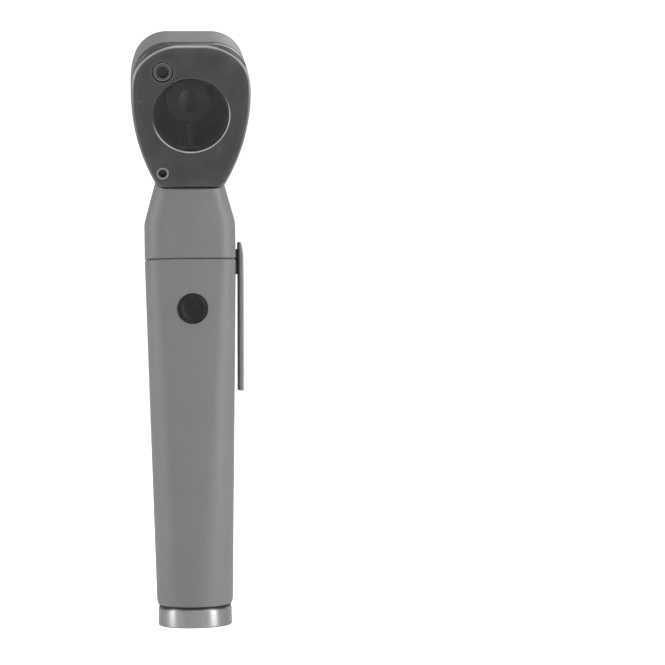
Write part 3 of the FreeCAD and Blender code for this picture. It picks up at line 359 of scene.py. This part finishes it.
head_grey, spot = start_finish("grey_shell_head")
across, ahead, up = head_frame(spot)
# Painted shade: the near black of the hollow is both its matt coat and the shade inside it.
coated_and_shaded = inside_outline(across, up).step(WALL_INSIDE_MM, WALL_INSIDE_MM + 0.4)
coated_and_shaded = coated_and_shaded * ahead.step(RIM_FRONT_MM, RIM_FRONT_MM + 0.15)
coated_and_shaded = coated_and_shaded * ahead.step(CAVITY_END_MM, CAVITY_END_MM - 0.2)
rim = ahead.step(RIM_FRONT_MM + 0.9, RIM_FRONT_MM + 0.3) * ahead.step(RIM_FRONT_MM - 0.3, RIM_FRONT_MM)
rub = rim * spot.noise(0.8, 3.0).step(0.42, 0.62) * 0.5
skin = shell_colour(spot, rub)
dress(end_finish(head_grey, spot, {
    "Base Color": coated_and_shaded.tint(skin, BLACK_COAT_AND_SHADE), "Roughness": shell_rough(spot, rub) + coated_and_shaded * 0.35,
    "Normal": grained(spot)}), "head_shell")

# ---- The window plate ----
# Smoked acrylic, 3 mm thick, its edge rounded off all round with a highlight painted on it, brightest
# along the top. It turns aside on the pivot. Its border is painted paler, for the shell's rim seen
# behind it.
SMOKE = 0.009
SMOKE_BORDER = 0.066
PAINTED_RIM_HIGHLIGHT = 0.30
PLATE_FACE_MM = 0.9
PLATE_SIDE_MM = 1.5
BORDER_MM = 4.8
BOSS_MM = 3.15
PLATE_IOR = 1.36
PIVOT_SIDE_MM = 7.7
PIVOT_UP_MM = 12.1
DETENT_DOWN_MM = 16.3


def ring_at(across, up, side, height, radius, wide):
    """One on a circle of a radius round a spot of the window, fading to zero at wide from it."""
    aside, above = across - side, up - height
    return abs((aside * aside + above * above).root() - radius).step(wide, wide * 0.4)


smoked, spot = start_finish("smoked_window")
across, ahead, up = head_frame(spot)
inset = inside_outline(across, up)
face = ahead.step(PLATE_SIDE_MM, PLATE_FACE_MM)
# Painted see-through: the border is paler where the shell's rim would show through the smoke.
border = inset.step(BORDER_MM, 0.9) * face
cloud = spot.noise(6.0, 3.0).step(0.30, 0.75)
rub = spot.noise(0.5, 4.0, 0.65).step(0.62, 0.80)
# Painted highlight: the rounded edge is painted pale, brightest along the top, and a faint painted
# highlight rings the pivot's boss.
rim_highlight = inset.step(0.80, 0.45) * inset.step(0.03, 0.16) * face
rim_highlight = rim_highlight * (0.35 + 0.65 * up.step(0.0, 14.0))
boss_highlight = ring_at(across, up, -PIVOT_SIDE_MM, PIVOT_UP_MM, BOSS_MM, 0.22)
shade = border * (0.70 + 0.30 * cloud)
tone = rim_highlight.most(boss_highlight * 0.10).tint(shade.tint(SMOKE, SMOKE_BORDER), PAINTED_RIM_HIGHLIGHT)
dress(end_finish(smoked, spot, {
    "Base Color": tone, "Roughness": 0.20 + cloud * 0.08 + rub * 0.12 + rim_highlight * 0.15, "IOR": PLATE_IOR,
    "Normal": spot.noise(7.0, 1.0).bump(0.000012)}), "window_plate")

# ---- The lens and its ring ----
# A glass lens, curved on both faces and sunk a little below the plate, held by a thin black ring.
# The ring's lip has a highlight painted on its lower right, and so have the rims of the pivot screw and
# the stud.
LIP_MM = 10.45
PIVOT_RIM_MM = 2.45
PIVOT_SOCKET_MM = 1.80
DETENT_RIM_MM = 1.45
LENS_CLEAR = 0.80
LENS_FILM = 0.76
LENS_IOR = 1.30
BLACKENED = 0.035
WORN_THROUGH = 0.12
CROWN_HIGHLIGHT_GREY = 0.26
LIP_HIGHLIGHT_GREY = 0.60
clear, spot = start_finish("clear_lens")
film = spot.noise(5.0, 3.0).step(0.35, 0.80)
dress(end_finish(clear, spot, {
    "Base Color": film.tint(LENS_CLEAR, LENS_FILM), "Roughness": film * 0.03, "IOR": LENS_IOR,
    "Transmission Weight": 1.0}), "magnifier_lens")

blackened, spot = start_finish("blackened_metal")
across, ahead, up = head_frame(spot)
turning = spot.noise(0.25, 2.0)
worn = spot.noise(0.7, 3.0).step(0.58, 0.76) * 0.5
# Painted highlight: the lip is pale on its lower right, and the rims of the pivot screw, its socket and
# the stud are painted lighter.
lip_highlight = ring_at(across, up, 0.0, 0.0, LIP_MM, 0.30) * ahead.step(1.0, 0.7)
lip_highlight = lip_highlight * (0.10 + 0.90 * (up - across * 0.35).step(3.0, -4.0))
crown_highlights = ring_at(across, up, -PIVOT_SIDE_MM, PIVOT_UP_MM, PIVOT_RIM_MM, 0.30).most(
    ring_at(across, up, -PIVOT_SIDE_MM, PIVOT_UP_MM, PIVOT_SOCKET_MM, 0.16) * 0.5).most(
    ring_at(across, up, -PIVOT_SIDE_MM, -DETENT_DOWN_MM, DETENT_RIM_MM, 0.32))
dress(end_finish(blackened, spot, {
    "Base Color": lip_highlight.tint(crown_highlights.tint(worn.tint(BLACKENED, WORN_THROUGH), CROWN_HIGHLIGHT_GREY), LIP_HIGHLIGHT_GREY),
    "Metallic": 0.75,
    "Roughness": 0.36 + turning * 0.14, "Normal": turning.bump(0.000002)}),
    "lens_ring", "pivot_screw", "detent_stud")

# ---- Gasket, washer, bush and detent ----
# A black rubber ring lies in the gap between the shell's rim and the window. The pivot turns in a
# brass bush over a black washer, and a steel ball on a small spring snaps into the stud.
RUBBER = 0.014
WIRE_GREY = 0.50
WASHER_GREY = 0.02
BRASS = (0.62, 0.43, 0.17)
MERGE = 0.0000002
SHARP = math.radians(38.0)
COIL_SIDES = 10
COIL_STEPS = 26
CLOSED_TURNS = 0.9
DETENT_LONG = 3.6
DETENT_RADIUS = 0.9
DETENT_WIRE = 0.22
DETENT_TURNS = 7.0


def stock(name, colour, rough, metal, mottle_mm=1.2, grain_mm=0.25, deep=0.000002, spread=0.15,
          extra=None):
    """A plain finish with life in it: a mottled colour, uneven gloss and a fine bump."""
    material, spot = start_finish(name)
    mottle = spot.noise(mottle_mm, 3.0).step(0.30, 0.70)
    grain = spot.noise(grain_mm, 2.0, 0.6)
    three = colour if isinstance(colour, tuple) else (colour, colour, colour)
    low_tone, high_tone = (tuple(part * (1 + side * spread) for part in three) for side in (-1, 1))
    inputs = {"Base Color": mottle.tint(low_tone, high_tone), "Metallic": metal,
              "Roughness": rough * 0.8 + grain * rough * 0.25 + mottle * rough * 0.15,
              "Normal": grain.bump(deep)}
    return end_finish(material, spot, {**inputs, **(extra or {})})


def skin(name, grid):
    """A closed mesh over a grid of points: rows in order, each a ring. A row of one spot is a pole."""
    rows, around = grid.shape[:2]
    first = np.arange(rows - 1)[:, None] * around + np.arange(around)[None, :]
    second = np.arange(rows - 1)[:, None] * around + (np.arange(around)[None, :] + 1) % around
    faces = np.stack([first, second, second + around, first + around], axis=-1).reshape(-1, 4)
    mesh = bpy.data.meshes.new(name)
    mesh.from_pydata((grid.reshape(-1, 3) / 1000).tolist(), [], faces.tolist())
    shell = bmesh.new()
    shell.from_mesh(mesh)
    bmesh.ops.remove_doubles(shell, verts=shell.verts, dist=MERGE)
    bmesh.ops.dissolve_degenerate(shell, edges=shell.edges, dist=MERGE)
    bmesh.ops.recalc_face_normals(shell, faces=shell.faces)
    shell.to_mesh(mesh)
    shell.free()
    mesh.shade_smooth()
    mesh.set_sharp_from_angle(angle=SHARP)
    piece = bpy.data.objects.new(name, mesh)
    bpy.context.scene.collection.objects.link(piece)
    return piece


def capped(grid):
    """The grid with its first and last ring drawn together to a pole each."""
    poles = [np.broadcast_to(ring.mean(axis=0), ring.shape)[None] for ring in (grid[0], grid[-1])]
    return np.concatenate([poles[0], grid, poles[1]])


def coil(start, way, radius, wire, tall, turns):
    """A coil spring: a helix round a way from a start, with its first and last turn closed up.

    The wire climbs by its own thickness a turn while closed, and evenly over the rest.
    """
    way = np.array(way) / np.linalg.norm(way)
    side = np.cross(way, (1.0, 0.0, 0.0) if abs(way[0]) < 0.9 else (0.0, 1.0, 0.0))
    side /= np.linalg.norm(side)
    other = np.cross(way, side)
    t = np.linspace(0.0, turns, int(turns * COIL_STEPS))
    rise = np.clip((t - CLOSED_TURNS) / (turns - 2 * CLOSED_TURNS), 0.0, 1.0)
    first = wire * np.clip(t, 0, CLOSED_TURNS)
    last = wire * np.clip(t - turns + CLOSED_TURNS, 0, CLOSED_TURNS)
    lift = wire / 2 + first + (tall - (1 + 2 * CLOSED_TURNS) * wire) * rise + last
    turn = 2 * np.pi * t
    out = np.cos(turn)[:, None] * side + np.sin(turn)[:, None] * other
    path = np.array(start) + (radius - wire / 2) * out + lift[:, None] * way
    tangent = np.gradient(path, axis=0)
    tangent /= np.linalg.norm(tangent, axis=1, keepdims=True)
    across = np.cross(tangent, out)
    ring = np.linspace(0, 2 * np.pi, COIL_SIDES, endpoint=False)
    return capped(path[:, None] + wire / 2 * (np.cos(ring)[None, :, None] * out[:, None]
                                             + np.sin(ring)[None, :, None] * across[:, None]))


def middle_of(name):
    """The middle of a CAD node's box at rest, in millimetres."""
    lowest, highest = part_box(name)
    return (np.array(lowest) + np.array(highest)) * 500


rubber = stock("black_rubber", RUBBER, 0.75, 0.0)
turned_brass = stock("turned_brass", BRASS, 0.30, 1.0)
bright_steel = stock("bright_steel", 0.50, 0.28, 1.0)
spring_wire = stock("spring_wire", WIRE_GREY, 0.30, 1.0)
dress(rubber, "window_gasket")
dress(stock("black_washer", WASHER_GREY, 0.5, 0.0), "pivot_washer")
dress(turned_brass, "pivot_bush")
dress(bright_steel, "detent_ball")
line_of_sight = np.array((0.0, math.cos(HEAD_TILT), math.sin(HEAD_TILT)))
detent = skin("detent_coil", coil(middle_of("detent_spring") - DETENT_LONG / 2 * line_of_sight,
                                  line_of_sight, DETENT_RADIUS, DETENT_WIRE, DETENT_LONG, DETENT_TURNS))
detent.data.materials.append(spring_wire)
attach(detent, "root")
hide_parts("detent_spring")

# ---- Speculum holder, light guide and air port ----
# A black moulded cone with its flange on three small screws. The light guide runs through it as a
# ring of glass fibres in a black sheath, bare only at its front end. The air port is a steel tube.
MOULDING_GREY = 0.016
SCREW_GREY = 0.20
FLANGE_MM = 17.0
FIBRE_END_MM = 34.35
FIBRES_A_MM = 9.0
FIBRE_SHEATH = 0.010
FIBRE_GLASS = (0.80, 0.84, 0.78)
black_moulding = stock("black_moulding", MOULDING_GREY, 0.40, 0.0, 3.0, 0.30, 0.000003)
dress(black_moulding, "speculum_holder", "switch_body", "switch_plunger")
dress(bright_steel, "air_port")
small_screw = stock("small_screw", SCREW_GREY, 0.36, 0.9)
dress(small_screw, "neck_screw", "clip_screws")
holder_screw, spot = start_finish("holder_screw")
across, ahead, up = head_frame(spot)
# Painted shade: behind the flange, inside the head's hollow, the screws take the same near black as the
# hollow.
dress(end_finish(holder_screw, spot, {
    "Base Color": ahead.step(FLANGE_MM, FLANGE_MM + 0.6).tint(BLACK_COAT_AND_SHADE, SCREW_GREY),
    "Metallic": 0.85, "Roughness": 0.34 + spot.noise(0.3, 2.0) * 0.15,
    "Normal": spot.noise(0.3, 2.0).bump(0.000002)}), "holder_screws")
sheath, spot = start_finish("fibre_sheath")
across, ahead, up = head_frame(spot)
bare = ahead.step(FIBRE_END_MM, FIBRE_END_MM + 0.1)
ends = spot.node("ShaderNodeTexVoronoi", {"feature": "F1"}, {"Vector": spot, "Scale": FIBRES_A_MM})
ends = ends.step(0.62, 0.30)
dress(end_finish(sheath, spot, {
    "Base Color": (bare * (0.45 + 0.55 * ends)).tint(FIBRE_SHEATH, FIBRE_GLASS),
    "Roughness": 0.5 + spot.noise(0.5, 2.0) * 0.2 - bare * 0.4,
    "Normal": spot.noise(0.3, 2.0).bump(0.000003)}), "light_guide", "fibre_bundle")

# ---- Lamp and its contacts ----
# A small plug-in lamp: a nickelled base, a clear bulb, and a brass socket that the upper cell feeds.
dress(turned_brass, "lamp_socket", "lamp_contact", "contact_strip")
dress(bright_steel, "lamp_base", "contact_dome")
dress(stock("bulb_glass", 0.95, 0.03, 0.0, spread=0.03, deep=0.0000002,
            extra={"Transmission Weight": 1.0, "IOR": 1.5}), "lamp_bulb")

# ---- Cells and their sleeve ----
# Two standard cells end to end: a drawn steel can in a plain printed film, one dark band and one
# light one, with the can bare at its ends and on its nub. The sleeve is natural polypropylene.
CELL_BAND = 0.30
CAN_BARE_LOW_MM = 0.9
CAN_BARE_HIGH_MM = 1.7
DARK_PRINT = (0.035, 0.06, 0.11)
LIGHT_PRINT = (0.42, 0.44, 0.46)
CAN_GREY = 0.55
SLEEVE_TONE = (0.62, 0.60, 0.55)
for cell_name in ("battery_lower", "battery_upper"):
    cell_low, cell_high = (corner[2] * 1000 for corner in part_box(cell_name))
    jacket, spot = start_finish("jacket_" + cell_name)
    height = spot.part(2)
    film_low, film_high = cell_low + CAN_BARE_LOW_MM, cell_high - CAN_BARE_HIGH_MM
    film = height.step(film_low, film_low + 0.1) * height.step(film_high, film_high - 0.1)
    band_low = cell_high - CELL_BAND * (cell_high - cell_low)
    print_tone = height.step(band_low, band_low + 0.1).tint(DARK_PRINT, LIGHT_PRINT)
    scratches = spot.stretched(1.0, 1.0, 0.1).noise(0.7, 3.0).step(0.66, 0.78)
    dress(end_finish(jacket, spot, {
        "Base Color": film.tint(CAN_GREY, print_tone), "Metallic": 1.0 - film * 0.9,
        "Roughness": 0.26 + scratches * 0.2, "Normal": scratches.bump(-0.000004)}), cell_name)
dress(stock("natural_sleeve", SLEEVE_TONE, 0.45, 0.0, 6.0), "battery_sleeve")

# ---- End cap, sealing ring and spring ----
# Turned aluminium, a little over 5 mm tall where it shows, with both edges broken and a thread
# above it. A rubber ring sits on its shoulder, and a steel spring inside presses the cells.
CAP_RADIUS = 10.2
CAP_TALL = 5.35
CAP_EDGE = 0.6
CAP_FOOT_EDGE = 0.4
CAP_FLOOR = 1.45
CAP_BORE = 7.4
THREAD_RADIUS = 8.6
THREAD_TOP = 14.15
THREAD_PITCH = 1.5
THREAD_DEEP = 0.42
THREAD_ROWS = 90
THREAD_FADE = 0.6
BREAK = 0.05
CAP_SIDES = 160
CAP_DARK = 0.31
CAP_LIGHT = 0.41
CAP_SPRING_RADIUS = 5.2
CAP_SPRING_WIRE = 0.6
CAP_SPRING_TURNS = 5.0


def turned_ring(radius, height):
    """A profile of radius over height, carried round the upright axis; radius may vary round it."""
    turn = np.linspace(0, 2 * np.pi, CAP_SIDES, endpoint=False)
    radius = np.broadcast_to(radius, (len(height), CAP_SIDES))
    return np.stack([radius * np.cos(turn), radius * np.sin(turn),
                     np.broadcast_to(height[:, None], radius.shape)], axis=-1)


def cap_grid():
    """Underside, broken foot edge, wall, broken top edge, shoulder, thread, bore and floor.

    The thread is a wave cos(2 pi z / pitch - turn), cut off flat and faded out at both ends.
    """
    turn = np.linspace(0, 2 * np.pi, CAP_SIDES, endpoint=False)
    corner = np.linspace(0, np.pi / 2, 6)
    below = np.array([(0.0, 0.0), (5.0, 0.0)])
    foot = np.stack([CAP_RADIUS - CAP_FOOT_EDGE + CAP_FOOT_EDGE * np.sin(corner),
                     CAP_FOOT_EDGE - CAP_FOOT_EDGE * np.cos(corner)], axis=1)
    wall = np.array([(CAP_RADIUS, CAP_TALL - CAP_EDGE), (CAP_RADIUS - 0.85 * CAP_EDGE, CAP_TALL - BREAK),
                     (CAP_RADIUS - CAP_EDGE, CAP_TALL), (THREAD_RADIUS - THREAD_DEEP, CAP_TALL)])
    outside = np.concatenate([below, foot, wall])
    climb = np.linspace(CAP_TALL + BREAK, THREAD_TOP - BREAK, THREAD_ROWS)
    fade = (np.clip((climb - CAP_TALL - 0.8) / THREAD_FADE, 0, 1)
            * np.clip((THREAD_TOP - 0.3 - climb) / THREAD_FADE, 0, 1))
    wave = np.cos(2 * np.pi * climb[:, None] / THREAD_PITCH - turn[None, :])
    crest = np.clip(0.5 + 0.8 * wave, 0, 1) * fade[:, None]
    threads = THREAD_RADIUS - THREAD_DEEP * (1 - crest)
    inside = np.array([(THREAD_RADIUS - THREAD_DEEP - 0.2, THREAD_TOP), (CAP_BORE + 0.15, THREAD_TOP),
                       (CAP_BORE, THREAD_TOP - 0.2), (CAP_BORE, CAP_FLOOR), (0.0, CAP_FLOOR)])
    return np.concatenate([turned_ring(outside[:, :1], outside[:, 1]), turned_ring(threads, climb),
                           turned_ring(inside[:, :1], inside[:, 1])])


turned_alu, spot = start_finish("turned_aluminium")
lines = spot.stretched(0.04, 0.04, 1.0).noise(0.10, 3.0, 0.7)
smear = spot.stretched(1.0, 1.0, 0.25).noise(2.2, 3.0)
nicks = spot.noise(0.35, 4.0, 0.7).step(0.70, 0.80)
end_finish(turned_alu, spot, {
    "Base Color": (smear * 0.6 + lines * 0.4).step(0.25, 0.75).tint(CAP_DARK, CAP_LIGHT),
    "Metallic": 1.0, "Roughness": 0.25 + lines * 0.12 + smear * 0.08 + nicks * 0.15,
    "Anisotropic": 0.75, "Anisotropic Rotation": 0.25,
    "Normal": nicks.bump(-0.000004, lines.bump(0.000002))})
cap = skin("turned_end_cap", cap_grid())
cap.data.materials.append(turned_alu)
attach(cap, "cap")
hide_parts("end_cap")
dress(rubber, "cap_o_ring")
spring_low, spring_high = (corner[2] * 1000 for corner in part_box("cap_spring"))
cap_coil = skin("cap_coil", coil((0.0, 0.0, spring_low), (0.0, 0.0, 1.0), CAP_SPRING_RADIUS,
                                 CAP_SPRING_WIRE, spring_high - spring_low, CAP_SPRING_TURNS))
cap_coil.data.materials.append(spring_wire)
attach(cap_coil, "cap_carrier")
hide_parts("cap_spring")

# ---- Push button and switch ----
# A round black button in a hole of the rear face, with a soft raised ring and a dished middle. It
# has a flange inside the shell and presses a small switch on a green board.
BUTTON_RADIUS = 4.12
BUTTON_RING = 3.1
BUTTON_RING_WIDE = 0.34
BUTTON_RING_TALL = 0.20
BUTTON_DISH = 0.22
BUTTON_EDGE = 0.28
BUTTON_FLANGE = 4.77
FLANGE_PLATE = 0.5
BUTTON_SIDES = 96
BUTTON_DARK = 0.007
BUTTON_TOUCHED = 0.013
BUTTON_IOR = 1.34
BOARD_GREEN = (0.02, 0.13, 0.06)


def button_grid():
    """From the middle of the face outwards: a dish, a ring, a round edge, the side and the flange.

    The dish is a parabola, and the ring a bell curve over its radius.
    """
    button_low, button_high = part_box("button_cap")
    front, back = button_low[1] * 1000, button_high[1] * 1000
    face = np.linspace(0, BUTTON_RADIUS - BUTTON_EDGE, 40)
    ring = BUTTON_RING_TALL * np.exp(-((face - BUTTON_RING) / BUTTON_RING_WIDE) ** 2)
    dish = BUTTON_DISH * np.clip(1 - (face / (BUTTON_RING - 0.3)) ** 2, 0, 1)
    depth = BUTTON_RING_TALL - ring + dish
    corner = np.linspace(0, np.pi / 2, 7)[1:]
    edge_out = BUTTON_RADIUS - BUTTON_EDGE + BUTTON_EDGE * np.sin(corner)
    edge_deep = BUTTON_RING_TALL + BUTTON_EDGE * (1 - np.cos(corner))
    rest = back - front
    tail = np.array([(BUTTON_RADIUS, rest - FLANGE_PLATE), (BUTTON_FLANGE, rest - FLANGE_PLATE),
                     (BUTTON_FLANGE, rest), (0.0, rest)])
    out = np.concatenate([face, edge_out, tail[:, 0]])
    deep = np.concatenate([depth, edge_deep, tail[:, 1]])
    turn = np.linspace(0, 2 * np.pi, BUTTON_SIDES, endpoint=False)
    middle = middle_of("button_cap")
    return np.stack([middle[0] + out[:, None] * np.cos(turn),
                     np.broadcast_to(front + deep[:, None], (len(out), BUTTON_SIDES)),
                     middle[2] + out[:, None] * np.sin(turn)], axis=-1)


button_black, spot = start_finish("button_black")
touched = spot.noise(1.6, 3.0).step(0.40, 0.70)
end_finish(button_black, spot, {
    "Base Color": touched.tint(BUTTON_DARK, BUTTON_TOUCHED), "IOR": BUTTON_IOR,
    "Roughness": 0.54 - touched * 0.10 + spot.noise(0.25, 2.0) * 0.12,
    "Normal": spot.noise(0.25, 2.0, 0.6).bump(0.000004)})
button = skin("push_button", button_grid())
button.data.materials.append(button_black)
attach(button, "button")
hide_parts("button_cap")
dress(stock("green_board", BOARD_GREEN, 0.35, 0.0), "switch_board")

# ---- Pocket clip, its pad and screws ----
# A strip of satin grey metal on a black pad, screwed to the right side. Its outside is crowned, its
# top is rounded off towards the shell, and a small bead inside its lower end holds it on a pocket.
CLIP_GREY = (0.185, 0.225)
CLIP_WORN = 0.32
CLIP_HALF_WIDE = 3.5
CLIP_THICK = 1.5
CLIP_CORNER = 0.42
CLIP_CROWN = 0.16
CLIP_BEND = 5.2
CLIP_TIP = 0.55
CLIP_LEAN = 0.42
CLIP_BEAD = 0.45
CLIP_BEAD_UP = 1.9
CLIP_BEAD_TALL = 0.75
CLIP_BEAD_HALF_WIDE = 2.4
CLIP_BEAD_ROWS_UP = 4.0
CLIP_TOP_NARROWER = 0.5
CLIP_END = 0.25
CLIP_SIDES = 40


def clip_grid():
    """Rounded rectangles up the clip. The inside leans in towards its lower end and has a bead there;
    the outside follows it one thickness away, then bends in along a quarter of an ellipse."""
    clip_low, clip_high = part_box("clip_bar")
    pad_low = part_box("clip_pad")[0][2] * 1000
    foot, top, outer_face = clip_low[2] * 1000, clip_high[2] * 1000, clip_high[0] * 1000
    height = np.concatenate([foot + CLIP_END * (1 - np.cos(np.linspace(0, np.pi / 2, 6))),
                             np.linspace(foot + CLIP_END, foot + CLIP_BEAD_ROWS_UP, 26)[1:],
                             np.linspace(foot + CLIP_BEAD_ROWS_UP, top - CLIP_BEND, 24)[1:],
                             top - CLIP_BEND + CLIP_BEND * np.sin(np.linspace(0, np.pi / 2, 22))[1:]])
    lean = CLIP_LEAN * np.clip((pad_low - height) / (pad_low - foot), 0, 1)
    inner = outer_face - CLIP_THICK - lean
    outer = inner + CLIP_THICK
    bead = CLIP_BEAD * np.exp(-((height - foot - CLIP_BEAD_UP) / CLIP_BEAD_TALL) ** 2)
    bent = np.clip((height - top + CLIP_BEND) / CLIP_BEND, 0, 1)
    outer = outer - (CLIP_THICK - CLIP_TIP) * (1 - np.sqrt(1 - np.minimum(bent, 1.0) ** 2))
    into_end = np.clip(foot + CLIP_END - height, 0, CLIP_END)
    shrink = CLIP_END - np.sqrt(np.clip(CLIP_END ** 2 - into_end ** 2, 0, None))
    half_thick = (outer - inner) / 2 - shrink
    half_wide = CLIP_HALF_WIDE - shrink - CLIP_TOP_NARROWER * bent ** 4
    round_off = np.minimum(CLIP_CORNER, 0.95 * half_thick)
    turn = np.linspace(0, 2 * np.pi, CLIP_SIDES, endpoint=False) + np.pi / CLIP_SIDES
    east, north = np.cos(turn)[None, :], np.sin(turn)[None, :]
    x = np.sign(east) * (half_thick - round_off)[:, None] + round_off[:, None] * east
    y = np.sign(north) * (half_wide - round_off)[:, None] + round_off[:, None] * north
    crown = -CLIP_CROWN * (1 - np.clip(1 - (y / CLIP_HALF_WIDE) ** 2, 0, 1))
    swell = -bead[:, None] * np.clip(1 - (y / CLIP_BEAD_HALF_WIDE) ** 2, 0, 1)
    x = x + np.where(east > 0, crown, swell)
    middle = ((outer + inner) / 2)[:, None]
    return capped(np.stack([middle + x, y, np.broadcast_to(height[:, None], x.shape)], axis=-1))


clip_grey, spot = start_finish("satin_clip")
brushed = spot.stretched(1.0, 1.0, 0.05).noise(0.12, 3.0, 0.6)
rub = spot.noise(1.2, 4.0, 0.6).step(0.62, 0.78)
end_finish(clip_grey, spot, {
    "Base Color": (rub * 0.6).tint(brushed.step(0.3, 0.7).tint(*CLIP_GREY), CLIP_WORN), "Metallic": 0.30,
    "Roughness": 0.36 + brushed * 0.12 - rub * 0.06, "Normal": brushed.bump(0.000002)})
clip = skin("pocket_clip", clip_grid())
clip.data.materials.append(clip_grey)
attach(clip, "clip")
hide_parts("clip_bar")
dress(rubber, "clip_pad")
